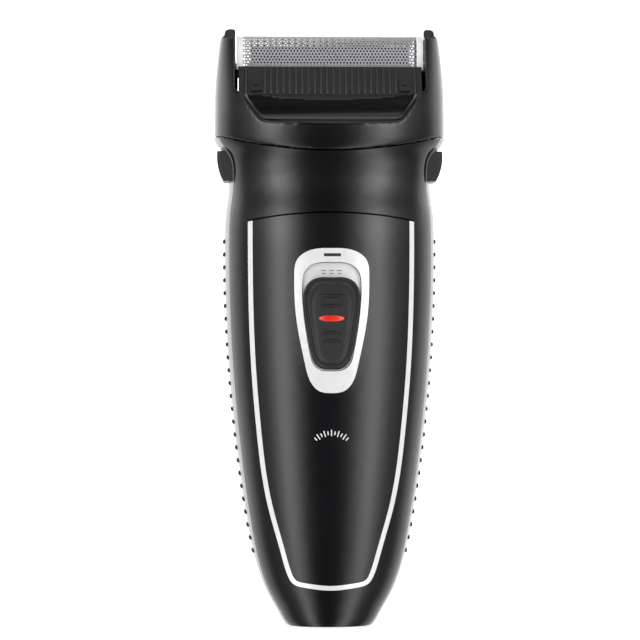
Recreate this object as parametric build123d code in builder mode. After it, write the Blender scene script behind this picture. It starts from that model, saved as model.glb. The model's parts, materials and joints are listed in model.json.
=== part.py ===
"""Reciprocating foil shaver with a lift-off head, a swing-out trimmer and a charging inlet.

The shaver stands upright on its base. +Z runs from the base to the foil, the switch faces -Y and
the trimmer faces +Y. The origin is at the middle of the flat base. Sizes are in millimetres.
"""

import os
from math import hypot

from build123d import *

os.makedirs("parts", exist_ok=True)

# ---------------------------------------------------------------- driving dimensions

EAR_TOP = 147.9  # height of the head's ears, the highest point
WALL, HEAD_WALL = 2.2, 1.8
SEAM = 0.1  # gap between two housing pieces
FIT = 0.1  # gap all round an inset piece
ROUNDNESS = 0.71  # 0.55 makes each cross-section an ellipse, 1.0 a box
HANDLE_STEP, HEAD_STEP = 3.125, 2.5  # spacing of the lofted cross-sections

# The body's cross-section at each height: height, half width, front depth, back depth.
STATIONS = (
    (0.0, 10.9, 8.6, 8.6),
    (4.0, 13.4, 10.2, 9.8),
    (10.0, 16.5, 11.9, 11.1),
    (18.0, 19.0, 13.4, 12.3),
    (30.0, 21.25, 14.9, 13.4),
    (45.0, 23.3, 16.1, 14.3),
    (62.0, 25.0, 17.0, 14.8),
    (80.0, 26.0, 17.4, 15.0),
    (94.0, 26.2, 17.2, 15.0),
    (101.5, 26.0, 16.2, 14.9),
    (106.0, 25.4, 14.8, 14.7),
    (111.0, 25.0, 13.9, 14.5),
    (115.5, 25.6, 14.3, 14.8),
    (118.2, 27.4, 15.6, 15.5),
    (119.8, 28.5, 16.2, 15.9),
    (121.5, 28.75, 16.4, 16.0),
    (127.0, 28.75, 16.0, 15.7),
    (133.0, 28.6, 14.3, 14.1),
    (140.0, 28.0, 11.2, 11.2),
    (146.0, 27.2, 8.4, 8.4),
    (150.0, 26.4, 6.6, 6.6),
)
HANDLE_REACH = 125.0  # the handle's form is lofted past the joint with the head
HEAD_REACH = 112.5  # and the head's form starts below it
SWITCH_REACH = (55.0, 95.0)  # the switch's parts need only this stretch of the form
LATCH_REACH = (65.0, 95.0)
TRIMMER_REACH = (85.0, 120.0)

PARTING_MIDDLE, PARTING_SIDE = 116.8, 121.0  # height of the joint between handle and head
PARTING_HALF = 28.75
PARTING_GAP = 0.25

BAND_SHARE = 0.44  # the side frame covers this share of the depth, each way from the middle
BAND_LEAST = 5.0

# Half of each outline on the front face, as (x, z) from the top to the bottom.
PANEL_SIDE = (
    (20.3, 106.0),
    (20.2, 84.0),
    (19.6, 66.0),
    (18.2, 48.7),
    (15.3, 29.6),
    (12.3, 18.8),
    (10.7, 13.4),
    (9.2, 11.0),
    (6.5, 10.1),
    (0.0, 9.4),
)
PANEL_TOP_MIDDLE, PANEL_TOP_SIDE = 101.9, 99.9
PANEL_TOP_GAP = 0.3  # shadow line between the panel and the neck
BEZEL_OUTER = (
    (0.0, 93.0),
    (5.2, 92.5),
    (8.4, 90.2),
    (9.1, 86.0),
    (8.9, 79.0),
    (8.0, 72.2),
    (6.4, 64.6),
    (5.0, 60.4),
    (3.0, 58.4),
    (0.0, 57.9),
)
BEZEL_INNER = (
    (0.0, 89.6),
    (4.3, 89.2),
    (6.5, 87.4),
    (7.2, 84.0),
    (7.1, 79.9),
    (6.2, 72.2),
    (5.35, 67.5),
    (4.3, 64.6),
    (2.5, 63.4),
    (0.0, 63.2),
)
SLIDER_OUTLINE = (
    (0.0, 85.9),
    (4.1, 85.6),
    (5.8, 84.4),
    (6.9, 81.4),
    (6.7, 77.5),
    (5.9, 72.2),
    (5.0, 67.6),
    (3.9, 64.9),
    (2.3, 63.8),
    (0.0, 63.6),
)
PANEL_DEPTH = 1.4  # the panel, its trim and the switch bezel sit this deep in the housing
TRIM_WIDTH, TRIM_PROUD = 1.15, 0.15
BEZEL_PROUD = 0.9
PLATE_DEPTH = 0.9  # the slide plate's top lies this deep
SLIDER_PROUD, RIDGE_PROUD = 0.5, 1.0
RIDGE_HEIGHTS, RIDGE_HALF, RIDGE_THICK = (81.5, 79.2, 71.8, 70.0), 2.8, 0.7
LENS_HEIGHT, LENS_HALF_WIDE, LENS_HALF_HIGH = 76.0, 3.2, 0.78
STEM_HALF, STEM_LOW, STEM_HIGH, STEM_ROOT = 1.2, 73.0, 77.0, 0.5  # the slider's arm into the housing
SWITCH_TRAVEL = 3.4
SLOT_PLAY = 0.4

STUD_PITCH, STUD_ROWS, STUD_FIRST = 3.2, 25, 18.3  # grip studs up each side
STUD_COLUMN_PITCH, STUD_COLUMNS = 2.6, 3
STUD_RADIUS, STUD_PROUD = 0.55, 0.4
STRIP_HALF, STRIP_THICK = 4.0, 0.9  # the strip inside the frame that the studs grow from

BUTTON_LOW, BUTTON_HIGH, BUTTON_HALF = 110.0, 117.4, 5.3
BUTTON_CENTRE, BUTTON_RADIUS = (16.0, 116.0), 12.0
BUTTON_INNER, FLANGE_THICK, FLANGE_RISE, FLANGE_HALF = 21.2, 0.7, 0.7, 4.5
BUTTON_SOFT = 0.8
BUTTON_SPRING_HEIGHT, BUTTON_SPRING_SEAT = 112.8, 19.2
BUTTON_COIL = 1.5, 0.15, 2.5  # each coil's radius, wire radius and turns

DECK_LOW, DECK_HIGH, DECK_HALF = 115.0, 116.6, 19.6
DECK_RIB_THICK, DECK_RIB_HALF, DECK_RIB_DROP = 1.2, 2.5, 1.8  # the ribs that hold the button springs
SEAL_MARGIN, SEAL_TALL, SEAL_TAPER = 3.0, 1.2, 15
POST_RADIUS, POST_TOP, COLLAR_RADIUS = 2.2, 133.0, 4.0
COLLAR_LOW, COLLAR_HIGH = 124.0, 124.8
STROKE = 1.2  # the cutter swings this far each way
FLOAT = 1.2  # the foil sinks this far under pressure

EAR_INNER = 23.4  # half the gap between the head's ears
EAR_DEPTH, EAR_ROUND = 8.2, 5.0
RIM_MIDDLE, RIM_SIDE, RIM_HALF = 129.9, 131.7, 22.9
LIP_HEIGHT, LIP_DEPTH = 123.5, 17.0
SCOOP_MIDDLE, SCOOP_TOP = (12.4, 125.6), (11.0, 131.5)  # (depth, height) on the scoop's curve
SCOOP_OUTLINE = ((16.0, 123.5), (18.0, 125.5), (19.9, 128.0), (21.8, 131.0), (23.2, 136.0))
SHELF_LOW, SHELF_HIGH = 121.6, 123.4
WELL_HALF, WELL_DEPTH, WELL_STEP, WELL_UPPER_DEPTH = 22.9, 8.8, 127.6, 10.0
PASS_HALF, PASS_DEPTH = 22.0, 5.6  # the cutter passes through here when the head lifts off
TONGUE_INNER, TONGUE_OUTER, TONGUE_NEAR, TONGUE_FAR, TONGUE_LOW = 18.6, 20.0, 6.0, 8.2, 117.2

FOIL_HALF_LENGTH, FOIL_RADIUS, FOIL_SHEET = 23.1, 5.45, 0.15
FOIL_CENTRE, FOIL_EDGE = 141.0, 136.6  # heights of the arch's centre line and the foil's edges
FRAME_HALF, FRAME_LOW, FRAME_HIGH = 22.6, 129.2, 138.2
FRAME_FOOT, FRAME_BROW = 9.8, 6.2  # half depth at the bottom and at the top
FRAME_VOID_HALF, FRAME_VOID_DEPTH = 21.9, 5.6
TAB_X, TAB_HEIGHT, TAB_WIDE, TAB_TALL, TAB_THICK = 18.3, 133.6, 2.6, 4.0, 0.5
TAB_BOSS_RADIUS, TAB_BOSS_THICK = 0.6, 0.9
FOIL_SPRING_X, FOIL_SPRING_Y = 19.5, 7.1
FOIL_COIL = 1.1, 0.2, 5

CARRIER_HALF, CARRIER_DEPTH, CARRIER_LOW, CARRIER_HIGH = 20.4, 4.2, 132.0, 139.0
SOCKET_RADIUS, SOCKET_TOP = 2.4, 135.5
BLADE_RADIUS, BLADE_THICK, BLADE_PITCH, BLADE_COUNT = 5.0, 0.45, 1.55, 26
SPINE_DEPTH, SPINE_LOW, SPINE_HIGH = 1.2, 138.0, 143.5
CARRIER_WALL = 1.3
CUTTER_COIL = 3.2, 0.25, 5

BRIDGE_HALF, BRIDGE_DEPTH, BRIDGE_LOW, BRIDGE_HIGH = 8.6, 5.2, 109.5, 111.5
FORK_INNER, FORK_OUTER, FORK_LOW = 3.8, 5.4, 107.4
RAIL_NEAR, RAIL_FAR, RAIL_HIGH = 5.35, 6.6, 112.6
RAIL_LIP_LOW, RAIL_LIP_REACH = 111.65, 1.2
MOUNT_LOW, MOUNT_HIGH, MOUNT_DEPTH = 99.1, 100.6, 8.2
MOTOR_LOW, MOTOR_HIGH, MOTOR_RADIUS, MOTOR_FLAT = 69.0, 99.0, 10.2, 7.7
SHAFT_RADIUS, SHAFT_TOP = 1.0, 106.0
ECCENTRIC_RADIUS, ECCENTRIC_LOW, ECCENTRIC_HIGH, ECCENTRIC_THROW = 4.5, 101.0, 107.0, 1.2
CRANK_PIN_RADIUS, CRANK_PIN_TOP = 1.0, 109.2
CAP_TALL, EDGE_BREAK = 2.5, 0.5

BATTERY_RADIUS, BATTERY_LOW, BATTERY_HIGH, BATTERY_Y, BATTERY_ROUND = 7.1, 16.0, 65.0, 1.5, 0.8
SOLDER_SHEET, SOLDER_HALF = 0.3, 2.0  # the battery's solder tabs
BOARD_HALF, BOARD_LOW, BOARD_HIGH, BOARD_FRONT, BOARD_BACK = 13.0, 30.0, 92.0, -9.6, -8.4
BOARD_ROUND = 1.5
CONTACT_HALF, CONTACT_THICK, CONTACT_MARGIN = 4.0, 1.0, 3.0
LIGHT_HALF_WIDE, LIGHT_HALF_HIGH, LIGHT_THICK = 1.6, 0.8, 0.8
GUIDE_HEIGHT, GUIDE_RADIUS, GUIDE_SINK = 48.0, 1.3, 2.4  # light guide behind the charge mark

BOSS_PLACES = ((-12.0, 19.0), (12.0, 19.0), (-19.0, 68.0), (19.0, 68.0))
BOSS_RADIUS, SCREW_RADIUS, SCREW_HEAD_RADIUS, SCREW_HEAD = 2.6, 1.0, 2.0, 1.5
SCREW_SINK, SCREW_TIP = 3.0, -7.0
RIB_HEIGHTS, RIB_THICK = (24.0, 40.0, 56.0), 1.4

TRIMMER_HALF, TRIMMER_HIGH, TRIMMER_FLOOR = 14.5, 111.2, 9.9
HINGE_Y, HINGE_Z, HINGE_RADIUS = 12.35, 93.2, 2.6
HINGE_PIN_RADIUS, HINGE_PIN_HALF = 1.0, 15.9
POCKET_GAP, POCKET_WALL, POCKET_HIGH = 0.3, 1.2, 114.0
COMB_HALF, COMB_LOW, COMB_HIGH, COMB_NEAR, COMB_FAR = 13.8, 105.0, 113.4, 11.3, 11.8
CUTTER_HALF, CUTTER_LOW, CUTTER_HIGH, CUTTER_NEAR, CUTTER_FAR = 12.6, 107.0, 113.0, 11.85, 12.25
TOOTH_PITCH, TOOTH_GAP, TOOTH_DEEP = 1.2, 0.5, 1.9
TRIMMER_SLOT_HALF, TRIMMER_SLOT_NEAR, TRIMMER_SLOT_FAR, TRIMMER_SLOT_LOW = 13.95, 11.2, 12.4, 104.8
NOTCH_FROM, NOTCH_TO, NOTCH_TOP = -12.5, -8.0, 2.0  # the torsion spring's notch in the hinge barrel
TRIMMER_COIL = 1.6, 0.25, 5

LATCH_HALF, LATCH_LOW, LATCH_HIGH, LATCH_TRAVEL = 5.0, 76.4, 86.4, 3.0
LATCH_SINK, LATCH_PROUD, LATCH_RIDGE, LATCH_ROUND = 1.1, 0.7, 1.2, 2.0
LATCH_RIDGE_COUNT, LATCH_RIDGE_FIRST, LATCH_RIDGE_PITCH, LATCH_RIDGE_THICK = 5, 3.0, 1.0, 0.5
LATCH_RIDGE_HALF = 3.5
LATCH_STEM_HALF, LATCH_STEM_LOW, LATCH_STEM_HIGH, LATCH_STEM_INNER = 1.5, 80.0, 83.0, 10.4

INLET_HALF, INLET_DEPTH, INLET_TALL = 6.5, 3.7, 13.0
SOCKET_HALF, SOCKET_DEPTH, SOCKET_FLOOR = 5.7, 2.9, 10.0
INLET_FLANGE, INLET_FLANGE_LOW, INLET_FLANGE_HIGH = 1.0, 2.4, 3.6
INLET_PIN_X, INLET_PIN_RADIUS, INLET_PIN_LOW, INLET_PIN_HIGH = 3.2, 0.9, 1.5, 14.5

FAR = 40.0  # past the body on every side


# ---------------------------------------------------------------- the body's form


def station_at(height):
    """Half width, front depth and back depth at a height, on a smooth curve through STATIONS."""
    last = len(STATIONS) - 1
    k = max(i for i in range(last) if STATIONS[i][0] <= height or i == 0)
    span = STATIONS[k + 1][0] - STATIONS[k][0]
    t = (height - STATIONS[k][0]) / span

    def slope(i, column):
        below, above = STATIONS[max(i - 1, 0)], STATIONS[min(i + 1, last)]
        return (above[column] - below[column]) / (above[0] - below[0])

    def value(column):
        start, end = STATIONS[k][column], STATIONS[k + 1][column]
        leave, arrive = slope(k, column) * span, slope(k + 1, column) * span
        cubic = 2 * start - 2 * end + leave + arrive
        square = 3 * end - 3 * start - 2 * leave - arrive
        return ((cubic * t + square) * t + leave) * t + start

    return value(1), value(2), value(3)


def quarter(share):
    """The cross-section's share of its reach along one axis, at a share of its reach along the other."""
    low, high = 0.0, 1.0
    for _ in range(30):
        t = (low + high) / 2
        reached = 3 * (1 - t) ** 2 * t * ROUNDNESS + 3 * (1 - t) * t**2 + t**3
        low, high = (t, high) if reached < share else (low, t)
    return (1 - t) ** 3 + 3 * (1 - t) ** 2 * t + 3 * (1 - t) * t**2 * ROUNDNESS


def side_at(height, y):
    """X of the body's side at a height and a depth."""
    half_width, front, back = station_at(height)
    return half_width * quarter(abs(y) / (front if y < 0 else back))


def back_at(height, x):
    """Y of the body's back at a height and a distance from the middle."""
    half_width, _, back = station_at(height)
    return back * quarter(abs(x) / half_width)


def body(grow, low, high, step=HANDLE_STEP):
    """The body's outer form between two heights, grown outwards, or shrunk when grow is negative."""
    steps = round((high - low) / step)
    with BuildPart(mode=Mode.PRIVATE) as form:
        for k in range(steps + 1):
            height = low + (high - low) * k / steps
            half_width, front, back = (size + grow for size in station_at(height))
            with BuildSketch(Plane.XY.offset(height)):
                with BuildLine():
                    for x in (half_width, -half_width):
                        for y in (back, -front):
                            Bezier((x, 0), (x, ROUNDNESS * y), (ROUNDNESS * x, y), (0, y))
                make_face()
        loft()
    return form.part


def save(piece, name):
    """Labels a finished piece and writes its STEP file."""
    piece.part.label = name
    export_step(piece.part, f"parts/{name}.step")


# ---------------------------------------------------------------- outlines and cutting forms


def drawn_in(half, amount):
    """Half an outline, listed from the top to the bottom, drawn in towards its middle."""
    moved = []
    for k, (x, z) in enumerate(half):
        before, after = half[max(k - 1, 0)], half[min(k + 1, len(half) - 1)]
        dx, dz = after[0] - before[0], after[1] - before[1]
        if x == 0:
            dz = 0  # the outline crosses the middle line square
        length = hypot(dx, dz)
        moved.append((x + amount * dz / length, z - amount * dx / length))
    return moved


def loop_form(half, inset):
    """A prism through the front of the body, on a closed outline given by its right half."""
    right = drawn_in(half, inset)
    with BuildPart(mode=Mode.PRIVATE) as form:
        with BuildSketch(Plane.XZ):
            with BuildLine():
                for side in (1, -1):
                    ends = ((side, 0), (-side, 0))
                    half_loop = [(side * x, z) for x, z in right]
                    Spline(*half_loop, tangents=ends, tangent_scalars=(1, 1))
            make_face()
        extrude(amount=FAR)
    return form.part


def panel_form(inset, top_gap):
    """A prism through the front on the face panel's outline, flat-topped under the arc of the neck."""
    right = drawn_in(PANEL_SIDE, inset)
    left = [(-x, z) for x, z in reversed(right)]
    side, top = right[0]
    with BuildPart(mode=Mode.PRIVATE) as form:
        with BuildSketch(Plane.XZ):
            with BuildLine():
                Spline(*right, *left[1:])
                Line((-side, top), (side, top))
            make_face()
            with BuildLine():
                ThreePointArc(
                    (-PANEL_SIDE[0][0], PANEL_TOP_SIDE - top_gap),
                    (0, PANEL_TOP_MIDDLE - top_gap),
                    (PANEL_SIDE[0][0], PANEL_TOP_SIDE - top_gap),
                )
                Polyline(
                    (PANEL_SIDE[0][0], PANEL_TOP_SIDE - top_gap),
                    (FAR, PANEL_TOP_SIDE - top_gap),
                    (FAR, 0),
                    (-FAR, 0),
                    (-FAR, PANEL_TOP_SIDE - top_gap),
                    (-PANEL_SIDE[0][0], PANEL_TOP_SIDE - top_gap),
                )
            make_face(mode=Mode.INTERSECT)
        extrude(amount=FAR)
    return form.part


def parting_form(flat, lift):
    """Everything between a flat at some height and the arc where the handle meets the head."""
    scale = (FAR / PARTING_HALF) ** 2
    side = PARTING_MIDDLE + (PARTING_SIDE - PARTING_MIDDLE) * scale + lift
    with BuildPart(mode=Mode.PRIVATE) as form:
        with BuildSketch(Plane.XZ):
            with BuildLine():
                ThreePointArc((-FAR, side), (0, PARTING_MIDDLE + lift), (FAR, side))
                Polyline((FAR, side), (FAR, flat), (-FAR, flat), (-FAR, side))
            make_face()
        extrude(amount=FAR, both=True)
    return form.part


def seam_points(sign, gap):
    """Points up the long seam at the front (sign -1) or the back (sign 1) of the side frame."""
    points = []
    for height, _, front, back in STATIONS:
        if height < HANDLE_REACH:
            depth = max(BAND_LEAST, BAND_SHARE * (front if sign < 0 else back)) - gap
            points.append((sign * depth, height))
    return [(points[0][0], -1.0)] + points[1:] + [(points[-1][0], HANDLE_REACH + 5)]


def beyond_seam(sign):
    """Everything in front of the front seam, or behind the back one."""
    seam = seam_points(sign, 0)
    with BuildPart(mode=Mode.PRIVATE) as form:
        with BuildSketch(Plane.YZ):
            with BuildLine():
                Spline(*seam)
                Polyline(seam[-1], (sign * FAR, seam[-1][1]), (sign * FAR, seam[0][1]), seam[0])
            make_face()
        extrude(amount=FAR, both=True)
    return form.part


def between_seams():
    """Everything between the front and the back seam."""
    front, back = seam_points(-1, SEAM), seam_points(1, SEAM)
    with BuildPart(mode=Mode.PRIVATE) as form:
        with BuildSketch(Plane.YZ):
            with BuildLine():
                Spline(*front)
                Spline(*back)
                Line(front[0], back[0])
                Line(front[-1], back[-1])
            make_face()
        extrude(amount=FAR, both=True)
    return form.part


def block(x_from, x_to, y_from, y_to, z_from, z_to):
    """A box between two corners."""
    with BuildPart(mode=Mode.PRIVATE) as form:
        with BuildSketch(Plane.XY.offset(z_from)):
            with Locations(((x_from + x_to) / 2, (y_from + y_to) / 2)):
                Rectangle(x_to - x_from, y_to - y_from)
        extrude(amount=z_to - z_from)
    return form.part


def rod(x, z, radius, y_from, y_to):
    """A cylinder along Y."""
    with BuildPart(mode=Mode.PRIVATE) as form:
        with BuildSketch(Plane.XZ.offset(-y_to)):
            with Locations((x, z)):
                Circle(radius)
        extrude(amount=y_to - y_from)
    return form.part


def coil(length, radius, wire, turns):
    """A coil spring that stands on Z = 0."""
    with BuildPart(mode=Mode.PRIVATE) as spring:
        rise = length - 2 * wire
        with BuildLine() as path:
            Helix(pitch=rise / turns, height=rise, radius=radius, center=(0, 0, wire))
        with BuildSketch(Plane(origin=path.line @ 0, z_dir=path.line % 0)):
            Circle(wire)
        sweep(is_frenet=True)
    return spring.part


HANDLE_OUTER = body(0, 0, HANDLE_REACH)
HANDLE_INNER = body(-WALL, WALL, HANDLE_REACH)
HANDLE_SUNK = body(-PANEL_DEPTH, 0, HANDLE_REACH)
BELOW_PARTING = parting_form(-FAR, 0)

with BuildPart() as handle_shell:
    add(HANDLE_OUTER)
    add(BELOW_PARTING, mode=Mode.INTERSECT)
    add(HANDLE_INNER, mode=Mode.SUBTRACT)
HANDLE_SHELL = handle_shell.part

# ---------------------------------------------------------------- front housing

with BuildPart() as panel_pocket:
    add(panel_form(-FIT, -FIT))
    add(HANDLE_SUNK, mode=Mode.SUBTRACT)

with BuildPart() as front_bosses:
    for x, z in BOSS_PLACES:
        add(rod(x, z, BOSS_RADIUS, -FAR, -SEAM))
    add(HANDLE_SUNK, mode=Mode.INTERSECT)

with BuildPart() as stem_slot:
    slot_high = STEM_HIGH + SWITCH_TRAVEL + SLOT_PLAY
    slot_half = STEM_HALF + SLOT_PLAY
    add(block(-slot_half, slot_half, -FAR, -BATTERY_RADIUS, STEM_LOW - SLOT_PLAY, slot_high))

with BuildPart() as front_housing:
    add(HANDLE_SHELL)
    add(beyond_seam(-1), mode=Mode.INTERSECT)
    add(front_bosses.part)
    add(panel_pocket.part, mode=Mode.SUBTRACT)
    for x, z in BOSS_PLACES:
        add(rod(x, z, SCREW_RADIUS + FIT / 2, SCREW_TIP - 1, 0), mode=Mode.SUBTRACT)
    add(stem_slot.part, mode=Mode.SUBTRACT)
    add(rod(0, GUIDE_HEIGHT, GUIDE_RADIUS + FIT, -FAR, BOARD_FRONT), mode=Mode.SUBTRACT)
save(front_housing, "front_housing")

# ---------------------------------------------------------------- face panel, trim and switch

with BuildPart() as face_trim:
    add(body(TRIM_PROUD, 0, HANDLE_REACH))
    add(panel_form(0, PANEL_TOP_GAP), mode=Mode.INTERSECT)
    add(HANDLE_SUNK, mode=Mode.SUBTRACT)
    add(panel_form(TRIM_WIDTH, -FIT), mode=Mode.SUBTRACT)
save(face_trim, "face_trim")

with BuildPart() as face_panel:
    add(HANDLE_OUTER)
    add(panel_form(TRIM_WIDTH + FIT, PANEL_TOP_GAP), mode=Mode.INTERSECT)
    add(HANDLE_SUNK, mode=Mode.SUBTRACT)
    add(loop_form(BEZEL_OUTER, -FIT), mode=Mode.SUBTRACT)
save(face_panel, "face_panel")

POCKET_FLOOR = body(FIT - PANEL_DEPTH, *SWITCH_REACH)
with BuildPart() as switch_bezel:
    add(body(BEZEL_PROUD, *SWITCH_REACH))
    add(loop_form(BEZEL_OUTER, 0), mode=Mode.INTERSECT)
    add(POCKET_FLOOR, mode=Mode.SUBTRACT)
    add(loop_form(BEZEL_INNER, 0), mode=Mode.SUBTRACT)
save(switch_bezel, "switch_bezel")

with BuildPart() as slide_plate:
    add(body(-PLATE_DEPTH, *SWITCH_REACH))
    add(loop_form(BEZEL_INNER, FIT), mode=Mode.INTERSECT)
    add(POCKET_FLOOR, mode=Mode.SUBTRACT)
    add(stem_slot.part, mode=Mode.SUBTRACT)
save(slide_plate, "slide_plate")

SLIDER_FLOOR = body(2 * FIT - PLATE_DEPTH, *SWITCH_REACH)
LENS_FLOOR = body(-2 * FIT, *SWITCH_REACH)
with BuildPart() as lens_seat:
    with BuildSketch(Plane.XZ):
        with Locations((0, LENS_HEIGHT)):
            Ellipse(LENS_HALF_WIDE + FIT, LENS_HALF_HIGH + FIT)
    extrude(amount=FAR)
    add(LENS_FLOOR, mode=Mode.SUBTRACT)

with BuildPart() as ridge_boxes:
    for height in RIDGE_HEIGHTS:
        low = height - RIDGE_THICK / 2
        add(block(-RIDGE_HALF, RIDGE_HALF, -FAR, 0, low, low + RIDGE_THICK))

with BuildPart() as slider_ridges:
    add(body(RIDGE_PROUD, *SWITCH_REACH))
    add(ridge_boxes.part, mode=Mode.INTERSECT)
    add(SLIDER_FLOOR, mode=Mode.SUBTRACT)

with BuildPart() as power_slider:
    add(body(SLIDER_PROUD, *SWITCH_REACH))
    add(loop_form(SLIDER_OUTLINE, 0), mode=Mode.INTERSECT)
    add(SLIDER_FLOOR, mode=Mode.SUBTRACT)
    add(slider_ridges.part)
    add(lens_seat.part, mode=Mode.SUBTRACT)
    stem_root = STEM_ROOT - station_at(STEM_LOW)[1]
    add(block(-STEM_HALF, STEM_HALF, stem_root, BOARD_FRONT - 1.2, STEM_LOW, STEM_HIGH))
save(power_slider, "power_slider")

with BuildPart() as slider_lens:
    add(body(SLIDER_PROUD, *SWITCH_REACH))
    with BuildSketch(Plane.XZ):
        with Locations((0, LENS_HEIGHT)):
            Ellipse(LENS_HALF_WIDE, LENS_HALF_HIGH)
    extrude(amount=FAR, mode=Mode.INTERSECT)
    add(LENS_FLOOR, mode=Mode.SUBTRACT)
save(slider_lens, "slider_lens")

# ---------------------------------------------------------------- side frame and its rubber grips

with BuildPart() as inlet_form:
    with BuildSketch():
        SlotOverall(2 * INLET_HALF, 2 * INLET_DEPTH)
    extrude(amount=INLET_TALL)

slot_half = BUTTON_HALF + FIT
BUTTON_SLOT = block(BUTTON_INNER - 2, FAR, -slot_half, slot_half, BUTTON_LOW - FIT, BUTTON_HIGH + FIT)


def stud_places(side):
    """A plane at the tip of each grip stud of one side, facing outwards."""
    places = []
    for row in range(STUD_ROWS):
        height = STUD_FIRST + row * STUD_PITCH
        for column in range(STUD_COLUMNS):
            y = (column - (STUD_COLUMNS - 1) / 2) * STUD_COLUMN_PITCH
            tip = side * (side_at(height, y) + STUD_PROUD)
            places.append(Plane((tip, y, height), x_dir=(0, 1, 0), z_dir=(side, 0, 0)))
    return places


def stud_form(radius, dome):
    """One grip stud, a pin along -Z with its tip at the origin."""
    with BuildPart(mode=Mode.PRIVATE) as stud:
        Cylinder(radius, STUD_PROUD + WALL + STRIP_THICK / 2, align=(Align.CENTER, Align.CENTER, Align.MAX))
        fillet(stud.edges().group_by(Axis.Z)[-1], dome)
    return stud.part


with BuildPart() as middle_frame:
    add(HANDLE_SHELL)
    add(between_seams(), mode=Mode.INTERSECT)
    with BuildSketch():
        SlotOverall(2 * (INLET_HALF + FIT), 2 * (INLET_DEPTH + FIT))
    extrude(amount=INLET_TALL, mode=Mode.SUBTRACT)
    for side in (-1, 1):
        add(mirror(BUTTON_SLOT, about=Plane.YZ) if side < 0 else BUTTON_SLOT, mode=Mode.SUBTRACT)
        with Locations(*stud_places(side)):
            add(stud_form(STUD_RADIUS + FIT / 2, FIT), mode=Mode.SUBTRACT)
save(middle_frame, "middle_frame")

STRIP_LOW = STUD_FIRST - STUD_PITCH
STRIP_HIGH = STUD_FIRST + STUD_ROWS * STUD_PITCH
STRIP_INNER = body(-WALL - STRIP_THICK, STRIP_LOW - 5, STRIP_HIGH + 5)
for side, name in ((-1, "side_grip_left"), (1, "side_grip_right")):
    with BuildPart() as side_grip:
        add(HANDLE_INNER)
        inner, outer = sorted((side * 5, side * FAR))
        add(block(inner, outer, -STRIP_HALF, STRIP_HALF, STRIP_LOW, STRIP_HIGH), mode=Mode.INTERSECT)
        add(STRIP_INNER, mode=Mode.SUBTRACT)
        with Locations(*stud_places(side)):
            add(stud_form(STUD_RADIUS, STUD_RADIUS * 0.7))
    save(side_grip, name)

# ---------------------------------------------------------------- rear housing

LATCH_SLOT_LOW = LATCH_STEM_LOW - LATCH_TRAVEL - SLOT_PLAY
with BuildPart() as latch_pocket:
    pocket_half = LATCH_HALF + SLOT_PLAY
    pocket_low = LATCH_LOW - LATCH_TRAVEL - SLOT_PLAY
    add(block(-pocket_half, pocket_half, 0, FAR, pocket_low, LATCH_HIGH + SLOT_PLAY))
    add(body(-LATCH_SINK - FIT, *LATCH_REACH), mode=Mode.SUBTRACT)
    slot_half = LATCH_STEM_HALF + SLOT_PLAY
    add(block(-slot_half, slot_half, MOTOR_FLAT, FAR, LATCH_SLOT_LOW, LATCH_STEM_HIGH + SLOT_PLAY))

with BuildPart() as trimmer_pocket:
    pocket_half = TRIMMER_HALF + POCKET_GAP
    with BuildSketch(Plane.YZ):
        with BuildLine():
            reach = HINGE_RADIUS + POCKET_GAP
            Polyline(
                (HINGE_Y - reach, HINGE_Z),
                (HINGE_Y - reach, POCKET_HIGH),
                (FAR, POCKET_HIGH),
                (FAR, HINGE_Z - reach),
                (HINGE_Y, HINGE_Z - reach),
            )
            RadiusArc((HINGE_Y, HINGE_Z - reach), (HINGE_Y - reach, HINGE_Z), reach)
        make_face()
    extrude(amount=pocket_half, both=True)

with BuildPart() as pocket_walls:
    half = TRIMMER_HALF + POCKET_GAP + POCKET_WALL
    low, high = HINGE_Z - HINGE_RADIUS - POCKET_GAP - POCKET_WALL, DECK_LOW - FIT
    add(HANDLE_OUTER)
    near = HINGE_Y - HINGE_RADIUS - POCKET_GAP - POCKET_WALL
    add(block(-half, half, near, FAR, low, high), mode=Mode.INTERSECT)

with BuildPart() as rear_bosses:
    for x, z in BOSS_PLACES:
        add(rod(x, z, BOSS_RADIUS, SEAM, FAR))
    add(HANDLE_SUNK, mode=Mode.INTERSECT)

with BuildPart() as rear_ribs:
    for height in RIB_HEIGHTS:
        add(block(-FAR, FAR, 0, FAR, height, height + RIB_THICK))
    add(HANDLE_SUNK, mode=Mode.INTERSECT)
    with BuildSketch():
        with Locations((0, BATTERY_Y)):
            Circle(BATTERY_RADIUS + FIT)
    extrude(amount=HANDLE_REACH, mode=Mode.SUBTRACT)

with BuildPart() as rear_housing:
    add(HANDLE_SHELL)
    add(rear_ribs.part)
    add(beyond_seam(1), mode=Mode.INTERSECT)
    add(rear_bosses.part)
    add(pocket_walls.part)
    add(trimmer_pocket.part, mode=Mode.SUBTRACT)
    add(latch_pocket.part, mode=Mode.SUBTRACT)
    for x, z in BOSS_PLACES:
        add(rod(x, z, SCREW_RADIUS + FIT / 2, 0, FAR), mode=Mode.SUBTRACT)
        add(rod(x, z, SCREW_HEAD_RADIUS + FIT, back_at(z, x) - SCREW_SINK, FAR), mode=Mode.SUBTRACT)
    with BuildSketch(Plane.YZ):
        with Locations((HINGE_Y, HINGE_Z)):
            Circle(HINGE_PIN_RADIUS)
    extrude(amount=HINGE_PIN_HALF, both=True, mode=Mode.SUBTRACT)
save(rear_housing, "rear_housing")

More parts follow.
